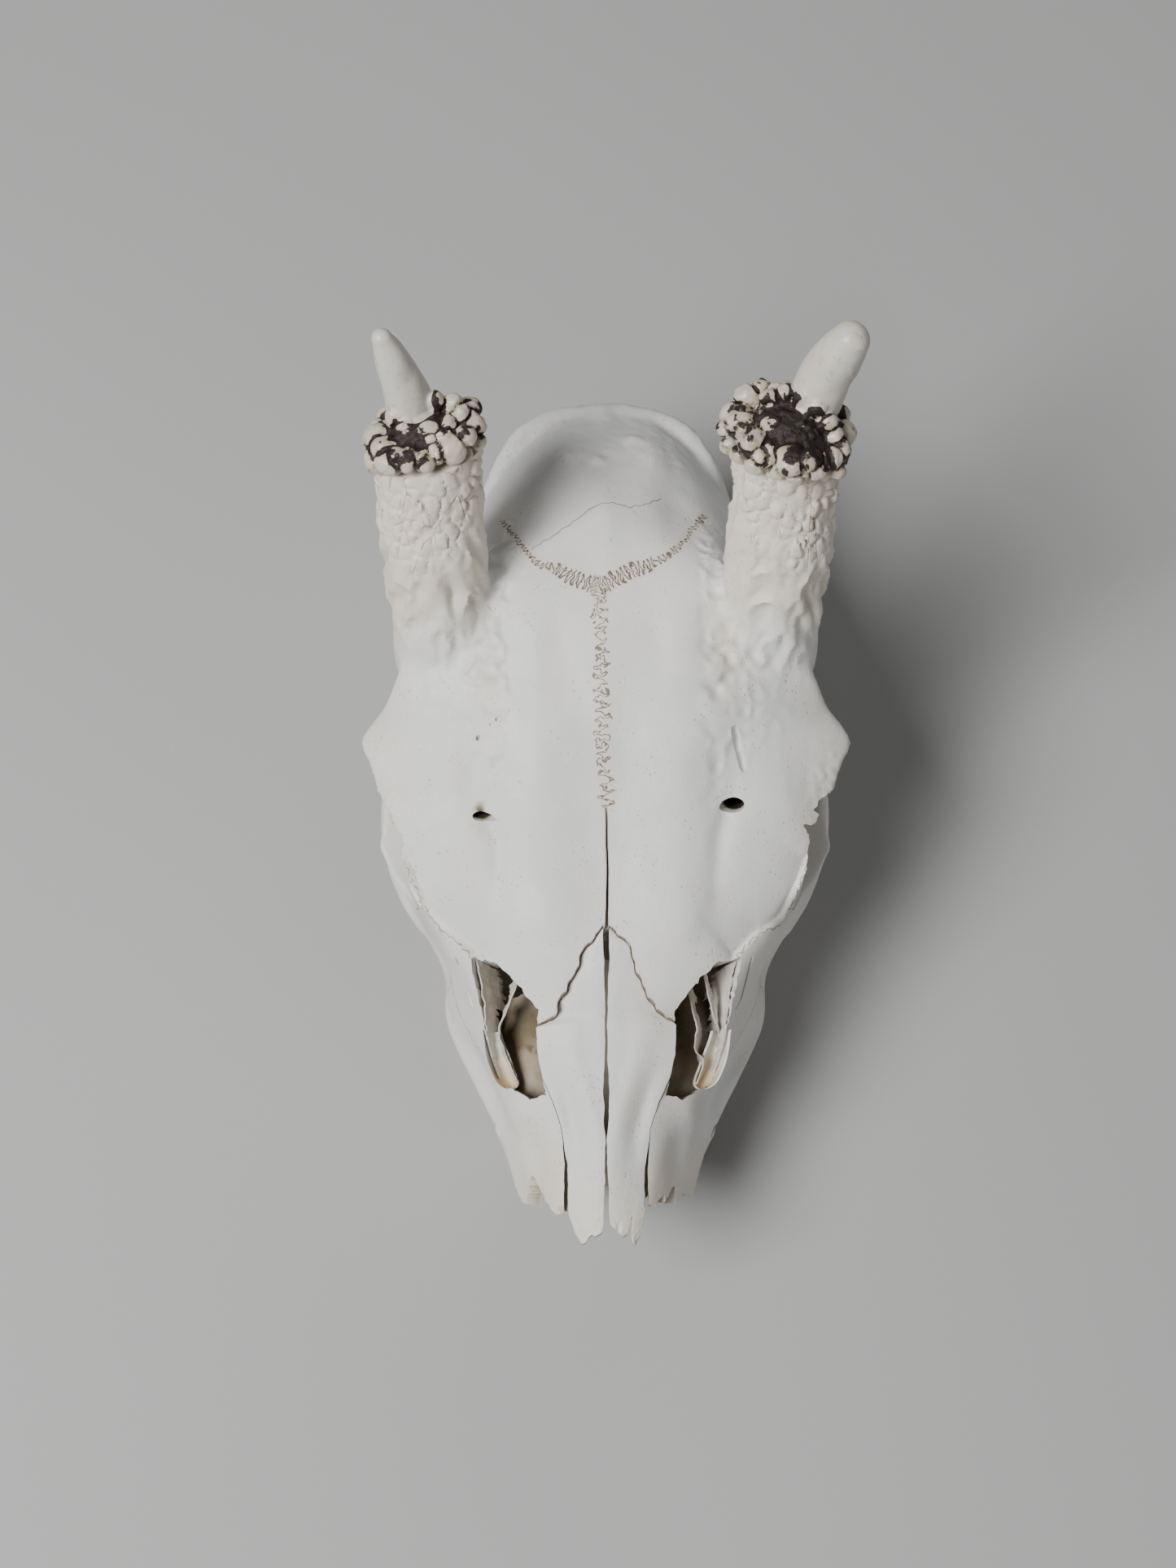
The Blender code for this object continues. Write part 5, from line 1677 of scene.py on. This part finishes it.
# Pearls seen in the photograph: x, y, z of the middle and half sizes across, along y and up.
PEARLS: dict[Side, tuple[Pearl, ...]] = {
    Side.RIGHT: (
        (-49.4, 63, 132.6, 3.2, 3.4, 3.2), (-49.2, 58.2, 131.8, 3.2, 3.2, 3.2),
        (-46.2, 56, 135.2, 3.6, 3, 2.8), (-43, 56.2, 136.8, 3.6, 2.6, 2.8),
        (-39.8, 55.6, 136.4, 2.8, 2.4, 2.6), (-38.1, 62.2, 138.2, 2.2, 1.7, 1.9),
        (-43.4, 63.6, 137.2, 2.4, 2.2, 2.2), (-36, 57.2, 136.6, 2.3, 2.6, 2.4),
        (-37.6, 60, 137.6, 1.5, 1.4, 1.5), (-35.2, 60.4, 137.6, 1.5, 1.4, 1.4),
        (-45.2, 65.4, 137.8, 2.4, 2.2, 2.4), (-41.2, 67.9, 139, 2.6, 2, 2.2),
        (-37, 68.7, 138.9, 2.6, 2, 2.2), (-33.2, 68.9, 137.4, 2.4, 2.1, 2.3),
        (-31.4, 66.8, 136.6, 2, 2.2, 2.4), (-29.6, 69, 133.6, 2.3, 2.4, 2.6),
        (-28.3, 65.9, 133.4, 2.3, 2.4, 2.6), (-28.2, 62.4, 132.8, 2.3, 2.4, 2.4),
        (-34.2, 64.2, 136.8, 1.8, 2.2, 2), (-31.2, 58.4, 133.2, 2.6, 2.4, 2.4),
    ),
    Side.LEFT: (
        (35, 68.8, 139.8, 2.6, 2, 2.3), (38.2, 69.2, 141, 2.6, 2, 2.3), (41.4, 67.8, 141.8, 2.5, 2, 2.4),
        (44.4, 65.6, 141.4, 2.5, 2.2, 2.4), (46.9, 63.4, 139.2, 2.3, 2.3, 2.4),
        (48.4, 61.2, 136.8, 2.2, 2.4, 2.4), (30.4, 71.2, 136.6, 3, 2.6, 2.6),
        (33.2, 72.4, 137.2, 2.8, 2, 2.2), (36.2, 71.6, 138, 2.6, 1.9, 2.2),
        (26.9, 67.6, 134.8, 2.6, 2.6, 2.8), (29, 66.4, 136.8, 2.2, 2.2, 2.4),
        (26.4, 64, 134.6, 2.6, 2.6, 2.8), (29, 62.6, 136.8, 2.4, 2.4, 2.4),
        (26.6, 60.6, 133.8, 2.5, 2.4, 2.6), (28.8, 57.8, 135.2, 2.7, 2.4, 2.6),
        (35.2, 62.4, 139.8, 2.8, 1.7, 1.9), (41, 62, 140.3, 1.2, 1.1, 1.3),
        (33.9, 56.4, 137.9, 2.4, 3.4, 2.8), (39.3, 54.4, 139.2, 2.7, 2.6, 2.6),
        (43, 54.6, 139, 2.5, 2.5, 2.5), (40.4, 52.4, 136.6, 3, 2.2, 2.4),
        (46.3, 55.9, 136, 2.5, 2.6, 2.6), (36.2, 53.4, 136.2, 2.6, 2.2, 2.4),
        (31.6, 54.4, 136.4, 2.5, 2.2, 2.6), (50.2, 58.8, 134.4, 2.2, 3.4, 3.2),
        (44.1, 53.2, 136.2, 2.6, 2.1, 2.4), (30, 59.6, 138.2, 2, 2, 2), (49, 55.8, 132, 2.3, 2.3, 2.4),
        (30.6, 57, 137.8, 1.9, 1.9, 1.9),
    ),
}

# Dark places between the pearls: x, y, z and reach.
DARK_SPOTS: dict[Side, Path] = {
    Side.RIGHT: (
        (-36.6, 65.8, 139, 2.2), (-41, 65, 139, 2), (-45.8, 61.2, 137.6, 1.5), (-39.6, 59, 138, 1.2),
    ),
    Side.LEFT: (
        (39.2, 63.8, 141.6, 4), (43.6, 60.6, 140.8, 3.3), (37.2, 60.2, 140.6, 2.8),
        (41.8, 58.4, 140.6, 2.3),
    ),
}


@dataclass
class Antler(Piece):
    """Coronet of pearls on its pedicle with the short spike behind it."""

    node: ClassVar[str] = "{0.side.label}_antler"
    slot: ClassVar[str] = "antler"
    side: Side
    radii: tuple[float, float]
    height: float
    ring_lumps: int
    voxel: float = 0.36
    triangles: int = 60000

    def shape(self) -> Object:
        """The antler: cores, pearls and spike fused into one skin, flat along the seam."""
        shells = [self.core(level, spread) for level, spread in ((0.42, 0.88), (0.66, 0.64))]
        shells += [ball(place, half, 28) for place, half in zip(*self.pearls())]
        path = mirrored(SPIKES[self.side], self.side)
        shells.append(sweep(np.concatenate([path, path[:, 3:4]], axis=1), 40, 40))
        shells.append(ball(path[-1, :3], path[-1, 3:4] * np.ones(3), 32))
        obj = make_object(f"{self.side.label}_antler_spike", shells)
        fuse(obj, self.voxel, 3)
        self.relief(obj)
        square, axis = seam_square(self.side, 22)
        carve(obj, "antler_seat", [prism(square + axis * SEAM_GAP, tuple(axis), 0, 30)])
        thin_out(obj, self.triangles)
        self.masks(obj)
        return obj

    def pearls(self) -> tuple[Array, Array]:
        """Middles and half sizes of every pearl: an uneven ring round the edge, then those on the crown."""
        middle, axis, across, front = seam_axes(self.side)
        i = np.arange(self.ring_lumps)
        angle = math.tau * (i + 0.35 * np.sin(3.1 * i)) / self.ring_lumps
        size = 2.9 + 0.7 * np.sin(2.3 * i + 1.0)
        at = middle + np.outer((self.radii[0] - size * 0.9) * np.cos(angle), across)
        at = at + np.outer((self.radii[1] - size * 0.9) * np.sin(angle), front)
        at = at + np.outer(self.height * 0.45 + 0.9 * np.sin(1.7 * i), axis)
        crown = np.array(PEARLS[self.side])
        half = np.stack([size, size, size * 0.9], axis=-1)
        return np.concatenate([at, crown[:, :3]]), np.concatenate([half, crown[:, 3:]])

    def pearl_back(self, p: Array) -> Array:
        """How surely each point lies on the back of a pearl; negative in the crevices between them.

        With a and b the distances to the nearest and the second nearest pearl, as shares of its half
        size, it is the smaller of 2.2 * (b - a) - 0.3 and 4 * (1.12 - a), held between -1 and 2.
        """
        at, half = self.pearls()
        bent = p + 0.35 * drift(p, 1.7, 140, 2)
        far = np.linalg.norm((bent[:, None] - at[None]) / half[None], axis=2)
        far.partition(1, axis=1)
        share = np.minimum(2.2 * (far[:, 1] - far[:, 0]) - 0.3, 4 * (1.12 - far[:, 0]))
        return np.clip(share, -1, 2)

    def core(self, level: float, spread: float) -> Shell:
        """Low dome that the pearls stand on, in the seam's own directions."""
        middle, axis, across, front = seam_axes(self.side)
        shell = ball((0, 0, 0), (self.radii[0] * spread, self.radii[1] * spread, self.height * 0.42), 48)
        turned = shell.points @ np.stack([across, front, axis])
        return Shell(turned + middle + axis * self.height * level, shell.faces)

    def off_spike(self, p: Array) -> Array:
        """Distance of each point from the skin of the plain spike, negative inside it."""
        path = spline(mirrored(SPIKES[self.side], self.side), 24)
        return (np.linalg.norm(p[:, None] - path[None, :, :3], axis=2) - path[None, :, 3]).min(axis=1)

    def spike_share(self, p: Array) -> Array:
        """1 on the spike and 0 on the coronet: nearness to the spike's line above the pearls."""
        middle, axis, _, _ = seam_axes(self.side)
        level = (p - middle) @ axis
        return step(1.1, 0.2, self.off_spike(p)) * step(self.height * 0.55, self.height * 1.02, level)

    def relief(self, obj: Object) -> None:
        """Small knobs and pits between the pearls, and a faint lengthwise grain on the spike."""
        p, n = read_points(obj), read_normals(obj)
        spike = self.spike_share(p)
        near, _, shade = pebbles(p, 1.5, 113)
        gap = step(0.25, -0.35, self.pearl_back(p))
        knobs = np.clip(1 - (near / 0.8) ** 2, 0, 1) * (0.3 + shade)
        crown = (0.16 + 0.30 * gap) * knobs - 0.75 * gap
        crown = crown + 0.12 * waves(p, 1.3, 117, 2) + 0.55 * waves(p, 3.4, 123, 2)
        smooth = 0.07 * waves(p * (1, 1, 0.3), 1.6, 119, 2) + 0.42 * waves(p, 7.0, 121, 2)
        write_points(obj, p + n * ((1 - spike) * crown + spike * smooth)[:, None])

    def masks(self, obj: Object) -> None:
        """Store rise, spike, crown and the dark places for the antler finish."""
        p = read_points(obj)
        store(obj, "rise", np.maximum(self.pearl_back(p), -0.02))
        store(obj, "spike", self.spike_share(p))
        middle, axis, _, _ = seam_axes(self.side)
        level = (p - middle) @ axis
        store(obj, "crown", step(0.8, 3.4, level + 0.8 * waves(p, 3.0, 131)))
        dark = np.zeros(len(p))
        for x, y, z, size in DARK_SPOTS[self.side]:
            dark = np.maximum(dark, bell(np.linalg.norm(p - (x, y, z), axis=1) / size))
        collar = step(2.4, 0.7, self.off_spike(p)) * step(0.9, 0.4, self.spike_share(p))
        collar = collar * (0.55 + 0.6 * waves(p, 2.6, 151, 2))
        store(obj, "dark", np.maximum(dark, collar))


# ---- Teeth ----


def gum_height(y: Array | float) -> Array:
    """Height of the gum edge, which drops from the premolars to the third molar."""
    return np.interp(y, (-68, 0), (17.0, 11.2))


def row_centre(y: Array | float) -> Array:
    """Distance of the tooth row from the middle, a shallow arch."""
    return np.interp(y, (-68, -52, -36, -18, 0), (20.4, 22.6, 25.2, 27.4, 28.0))


def socket_trench(side: Side) -> Shell:
    """The trench that holds one side's teeth, as a swept box."""
    y = np.linspace(TOOTH_ROW_FRONT - 0.6, TOOTH_ROW_FRONT + sum(t[1] for t in TEETH) + 2.6, 24)
    gum, centre = gum_height(y), row_centre(y)
    half = np.interp(y, (-68, -50, -30, 0), (4.4, 5.8, 7.0, 7.2))
    corners = ((-1, 4.0), (1, 4.0), (1, -12.0), (-1, -12.0))
    rings = [np.stack([side.value * (centre + half * a), y, gum + b], axis=-1) for a, b in corners]
    return tube(np.stack(rings, axis=1))


@dataclass
class Tooth(Piece):
    """A cheek tooth: lobed crown, folded chewing face towards the table and a plain root."""

    node: ClassVar[str] = "{0.side.label}_{0.name}"
    slot: ClassVar[str] = "tooth"
    side: Side
    name: str
    front: float
    length: float
    width: float
    lobes: int
    face: float
    turns: int = 96
    face_rings: int = 22

    def outline(self) -> tuple[Array, Array]:
        """Crown outline seen from below as x and y from its middle.

        The half widths follow a cosine for one lobe and the size of a sine for two; the cheek side has
        sharp ribs at the lobe edges.
        """
        turn = np.linspace(0, math.tau, self.turns, endpoint=False)
        along = np.sign(np.sin(turn)) * np.abs(np.sin(turn)) ** 0.72 * 0.5
        cheek = np.cos(turn) > 0
        bulge = np.cos(math.pi * along) if self.lobes == 1 else np.abs(np.sin(math.tau * along))
        inner = self.width / 2 * (0.62 + 0.38 * bulge)
        ribs = bell(along / 0.035) * (0.13 if self.lobes == 2 else 0.02)
        ribs = ribs + 0.10 * bell((np.abs(along) - 0.42) / 0.05)
        outer = self.width / 2 * (0.70 + 0.20 * bulge + ribs)
        squeeze = np.abs(np.cos(turn)) ** 0.42
        x = np.where(cheek, outer, -inner) * squeeze
        return x, along * self.length

    def chewing_relief(self, x: Array, y: Array) -> tuple[Array, Array]:
        """Height of the chewing face and how deep each place lies in a fold.

        Each lobe has two crescents of enamel: the face rises where the distance from a crescent's arc is
        small and sinks in the pocket that the two arcs hold.

        Args:
            x: across, outwards positive, in shares of the half width.
            y: along, in shares of the half length.

        Returns:
            Relief in millimetres above the face's plane, and fold depth from 0 to 1.
        """
        lobe_y = y if self.lobes == 1 else np.abs(y) - 0.5
        scale = 1.0 if self.lobes == 1 else 2.0
        v = lobe_y * scale
        pocket = np.zeros_like(x)
        ridge = np.zeros_like(x)
        for centre, bend in ((0.42, -0.34), (-0.40, -0.30)):
            arc = centre + bend * v**2
            off = x - arc
            pocket = np.maximum(pocket, bell(off / 0.10) * step(0.95, 0.6, np.abs(v)))
            edge = bell((np.abs(off) - 0.20) / 0.09)
            ridge = np.maximum(ridge, edge * step(1.05, 0.8, np.abs(v)))
        groove = bell(y / 0.07) * step(0.5, 0.9, np.abs(x)) if self.lobes == 2 else 0 * y
        return 0.55 * ridge - 1.5 * pocket - 0.6 * groove, np.clip(pocket + 0.7 * groove, 0, 1)

    def shape(self) -> Object:
        """The tooth: rings down its wall, then inwards over the chewing face."""
        middle = self.front + self.length / 2
        centre = float(row_centre(middle))
        slope = math.atan2(float(row_centre(middle + 3) - row_centre(middle - 3)), 6)
        gum = float(gum_height(middle))
        x, y = self.outline()
        levels = np.array([
            (gum + 3.2, 0.80), (gum + 1.6, 0.88), (gum, 0.945), (gum - 1.2, 0.985), (gum - 4, 1.0),
            ((gum + self.face) / 2, 0.985), (self.face + 2.0, 0.95), (self.face + 0.7, 0.915),
            (self.face, 0.88),
        ])
        wall = spline(levels, 34)
        inward = np.linspace(1, 0.02, self.face_rings + 1)[1:]
        scale = np.concatenate([wall[:, 1], wall[-1, 1] * inward])[:, None]
        height = np.concatenate([wall[:, 0], np.full(len(inward), self.face)])[:, None] + 0 * x
        flat = np.concatenate([np.zeros(len(wall)), np.ones(len(inward))])[:, None] + 0 * x
        px, py = x * scale, y * scale
        rise, fold = self.chewing_relief(px / (self.width / 2), py / (self.length / 2))
        height = height + flat * np.maximum(0.55 - rise, 0)
        cos, sin = math.cos(slope), math.sin(slope)
        rings = np.stack([
            self.side.value * (centre + px * cos + py * sin), middle - px * sin + py * cos, height,
        ], axis=-1)
        obj = make_object(f"{self.side.label}_{self.name}_crown", [tube(rings)])
        spare = np.array([0.0, 0.0])
        store(obj, "fold", np.concatenate([(fold * flat).ravel(), spare]))
        worn = flat * step(0.1, 0.5, -rise) * (1 - fold)
        store(obj, "dentine", np.concatenate([worn.ravel() * 0.8, spare]))
        share = np.clip((height - self.face) / (gum - self.face), 0, 1) * (1 - flat)
        store(obj, "neck", np.concatenate([share.ravel(), spare]))
        return obj


# ---- Torn inner bone ----


@dataclass
class TornLeaf(Piece):
    """A thin torn sheet of bone inside a face window."""

    name: str
    upper: Path
    lower: Path
    seed: int
    thickness: float = 0.35
    fray: float = 1.3
    stations: int = 150
    rows: int = 16

    def shape(self) -> Object:
        """The leaf: points blended from the upper to the lower curve, with a frayed lower edge."""
        n, m = self.stations, self.rows
        top, low = spline(self.upper, n), spline(self.lower, n)
        run = np.stack([np.arange(n) * 0.14, np.zeros(n), np.full(n, self.seed * 3.0)], axis=-1)
        tear = 1 + 0.42 * self.fray * waves(run, 1.5, self.seed, 4)
        share = np.linspace(0, 1, m)[None, :, None] * tear[:, None, None]
        sheet = top[:, None] + (low - top)[:, None] * share
        flat = sheet.reshape(-1, 3)
        flat += 0.45 * drift(flat, 2.2, self.seed, 3)
        thin = self.thickness / 2 * (1 - 0.6 * np.linspace(0, 1, m))[None, :, None]
        obj = make_object(self.name, [thicken(sheet, thin)])
        # Leaves painted a little darker: partly inner stain, partly painted shade in the window.
        store_blanks(obj, 0.3)
        return obj


LEAVES: tuple[TornLeaf, ...] = (
    TornLeaf(
        "right_inner_sheet",
        ((-29.6, -34.6, 66.4), (-28.4, -40, 62.8), (-27.6, -46.4, 60), (-27.4, -51, 56.4)),
        ((-24, -34.8, 55.5), (-23.8, -40.5, 53), (-24.2, -46.6, 51), (-24.6, -51.5, 50)), 3,
    ),
    TornLeaf(
        "right_torn_ribbon",
        (
            (-20, -37.6, 64.5), (-20.9, -41, 62.6), (-23, -45.6, 60.6), (-24.4, -49.6, 58.6),
            (-22.9, -54.4, 55.4), (-20.4, -59.6, 52.6),
        ),
        (
            (-21.8, -38.4, 58.6), (-22.6, -41.6, 57), (-24, -46, 54.2), (-24.6, -50, 51.5),
            (-23, -55, 47.8), (-20.4, -60.4, 44.6),
        ), 5,
    ),
    TornLeaf(
        "left_torn_ribbon",
        (
            (19, -40, 65), (19.2, -43.4, 62.8), (20.6, -48.6, 60.4), (20.4, -53.4, 57.4), (22.2, -56, 55),
            (20.8, -60.4, 51.8),
        ),
        (
            (20.6, -41, 58), (20.8, -44, 56.4), (22, -49, 53.6), (21.6, -54, 49.8), (22.6, -57, 47.6),
            (20.8, -61, 44.6),
        ), 9,
    ),
    TornLeaf(
        "left_inner_sheet",
        ((29.4, -35, 66.4), (28.4, -40, 62.8), (27.6, -46.4, 60), (27.4, -50, 57)),
        ((23.6, -36, 55.5), (23.8, -41, 53), (24.4, -47, 51), (24.8, -50.8, 50)), 13,
    ),
    TornLeaf(
        "left_torn_strip",
        ((22.2, -37.4, 66.8), (23.2, -41.8, 64.2), (24.2, -45.8, 61.2), (25.8, -48.8, 58.4)),
        ((23.4, -38, 62), (24.2, -42, 60), (25, -46.2, 57.2), (26.2, -49.4, 54.4)), 17, 0.3, 1.2,
    ),
)


@dataclass
class TearPit(Piece):
    """The tan scoop at the front outer corner of a face window, closed and rounded at its front end."""

    side: Side
    line: Path = (
        (26.4, -49, 57.4), (25.6, -52.4, 56), (24.4, -56.2, 54.2), (23, -59.6, 52.8), (22.2, -61.6, 52.4),
    )
    half_width: float = 2.5
    depth: float = 3.6
    wall: float = 0.55
    stations: int = 44
    turns: int = 20

    def shape(self) -> Object:
        """The scoop: a half round channel whose width and depth close to nothing at the front."""
        n, m = self.stations, self.turns
        axis = spline(mirrored(self.line, self.side), n)
        t = np.linspace(0, 1, n)
        close = np.sqrt(np.clip(1 - np.maximum(t - 0.62, 0) ** 2 / 0.38**2, 0.0004, 1))
        wide = self.half_width * close * (0.72 + 0.28 * step(0, 0.5, t))
        deep = self.depth * close
        a = np.linspace(0, math.pi, m)[None, :, None]
        out = np.array((float(self.side.value), 0, 0.25))
        down = np.array((0, 0.12, -1.0))
        wide, deep = wide[:, None, None], deep[:, None, None]
        inner, outer = (
            axis[:, None] + (wide + wall) * np.cos(a) * out + (deep + wall) * np.sin(a) * down
            for wall in (0.0, self.wall)
        )
        rings = np.concatenate([inner, outer[:, ::-1]], axis=1)
        obj = make_object(f"{self.side.label}_tear_pit", [tube(rings, strip=True)])
        # Scoop painted slightly darker: partly stain, partly painted shade.
        store_blanks(obj, 0.1)
        p = read_points(obj)
        store(obj, "pit", 0.85 * step(-50, -60, p[:, 1]) * step(54.5, 50.5, p[:, 2]))
        return obj


@dataclass
class Concha(Piece):
    """The rolled leaf of bone that hangs from the cheek's inner wall into the nose."""

    side: Side
    thickness: float = 0.6
    stations: int = 80
    turns: int = 110
    profile: Path = (
        (27.6, 44), (24.5, 46.8), (20.5, 49.4), (16, 49.6), (12.2, 46.8), (11.2, 41.8), (13.5, 37.2),
        (17.5, 35.6), (20.8, 38), (20.6, 42), (17.8, 43.8), (15.6, 42),
    )

    def shape(self) -> Object:
        """The roll: the profile carried along y, narrower towards the front, with torn ends."""
        n, m = self.stations, self.turns
        line = spline(self.profile, m)
        run = np.stack([line[:, 0], np.full(m, self.side.value * 9.0), line[:, 1]], axis=-1)
        front = -69 + 1.6 * waves(run, 3.0, 161, 3)
        back = -39 + 1.8 * waves(run, 3.0, 163, 3)
        t = np.linspace(0, 1, n)[:, None]
        y = front + (back - front) * t
        x = line[:, 0] * np.interp(y, (-72, -66, -52, -40), (0.76, 0.80, 0.98, 1.0))
        z = line[:, 1] + np.interp(y, (-72, -40), (-3.0, 2.0))
        sheet = np.stack([self.side.value * x, y, z], axis=-1)
        flat = sheet.reshape(-1, 3)
        flat += 0.55 * drift(flat, 5.0, 165, 3)
        obj = make_object(f"{self.side.label}_concha", [thicken(sheet, self.thickness / 2)])
        store_blanks(obj, 0.8)
        p = read_points(obj)
        # Painted darker as inner stain and painted shade, most towards the back of the nose, where it passes
        # 1 and turns to near black painted shade.
        spots = step(0.42, 0.62, waves(p, 3.2, 171, 3))
        shade = 0.92 + 0.3 * step(-58, -45, p[:, 1]) + 0.25 * spots
        store(obj, "hollow_stain_and_shade", np.clip(shade, 0, 1.25))
        return obj


# ---- Stage ----


@dataclass
class Studio:
    """Pale floor, soft lights and the camera at the photograph's angle."""

    elevation: float = 70.0
    distance: float = 520.0
    target: tuple[float, float, float] = (-4.1, 0.0, 88.0)
    lens: float = 53.24
    floor_colour: Colour = (0.42, 0.42, 0.415, 1)
    floor_roughness: float = 0.85
    floor_half: float = 2.0
    sky_colour: Colour = (0.97, 0.98, 1.0, 1)
    sky_strength: float = 0.075
    lamp_target: tuple[float, float, float] = (0, 0, 0.06)
    lamps: tuple[tuple[str, tuple[float, float, float], float, float], ...] = (
        ("key_light", (-0.55, -0.30, 0.98), 0.46, 17.5),
        ("fill_light", (0.85, -0.75, 0.60), 0.6, 1.8),
        ("rear_light", (0.35, 0.95, 0.55), 0.6, 1.6),
    )

    def build(self) -> None:
        """Make the floor, the lights and the camera."""
        self.floor()
        for lamp in self.lamps:
            self.lamp(*lamp)
        world = bpy.data.worlds.new("studio")
        world.use_nodes = True
        sky = world.node_tree.nodes["Background"]
        sky.inputs[0].default_value = self.sky_colour
        sky.inputs[1].default_value = self.sky_strength
        bpy.context.scene.world = world
        self.camera()

    def floor(self) -> None:
        """One flat square sheet under the skull."""
        mesh = bpy.data.meshes.new("floor")
        far = self.floor_half
        mesh.from_pydata([(-far, -far, 0), (far, -far, 0), (far, far, 0), (-far, far, 0)], [], [(0, 1, 2, 3)])
        obj = place_object("floor", mesh)
        material = bpy.data.materials.new("floor")
        material.use_nodes = True
        shader = material.node_tree.nodes["Principled BSDF"]
        shader.inputs["Base Color"].default_value = self.floor_colour
        shader.inputs["Roughness"].default_value = self.floor_roughness
        mesh.materials.append(material)

    def lamp(self, name: str, place: tuple[float, float, float], size: float, power: float) -> None:
        """A square soft light that faces the skull.

        Args:
            name: object name.
            place: in metres.
            size: side in metres.
            power: in watts.
        """
        data = bpy.data.lights.new(name, "AREA")
        data.shape = "SQUARE"
        data.size = size
        data.energy = power
        obj = place_object(name, data)
        obj.location = place
        way = Vector(self.lamp_target) - Vector(place)
        obj.rotation_euler = way.to_track_quat("-Z", "Y").to_euler()

    def camera(self) -> None:
        """Camera that looks down and back at the photograph's angle, with its long side as sensor width."""
        angle = math.radians(self.elevation)
        way = np.array((0, math.cos(angle), -math.sin(angle)))
        target = (np.array(self.target) - SHIFT) * MM
        data = bpy.data.cameras.new("camera")
        data.sensor_width = 36.0
        data.lens = self.lens
        obj = place_object("camera", data)
        obj.location = target - way * self.distance * MM
        obj.rotation_euler = Vector(way).to_track_quat("-Z", "Y").to_euler()
        bpy.context.scene.camera = obj


def main() -> None:
    """Build every piece in order."""
    logging.basicConfig(level=logging.INFO, format="%(name)s: %(message)s")
    Studio().build()
    effects = SharedEffects.build()
    bone = BoneFinish().build(effects)
    ivory = AntlerFinish().build(effects)
    enamel = EnamelFinish().build(effects)
    nasals = [Nasal(side) for side in Side]
    cranium = Cranium(nasals)
    cranium.build(bone)
    for nasal in nasals:
        nasal.build(bone)
    for antler in (
        Antler(Side.RIGHT, (13.2, 12.8), 9.0, 13),
        Antler(Side.LEFT, (14.2, 15.2), 11.5, 15),
    ):
        antler.build(ivory)
    for side in Side:
        front = TOOTH_ROW_FRONT
        for name, length, width, lobes, face in TEETH:
            Tooth(side, name, front, length, width, lobes, face).build(enamel)
            front += length + SEAM_GAP
    for leaf in LEAVES:
        leaf.build(bone)
    for side in Side:
        TearPit(side).build(bone)
        Concha(side).build(bone)


if __name__ == "__main__":
    main()
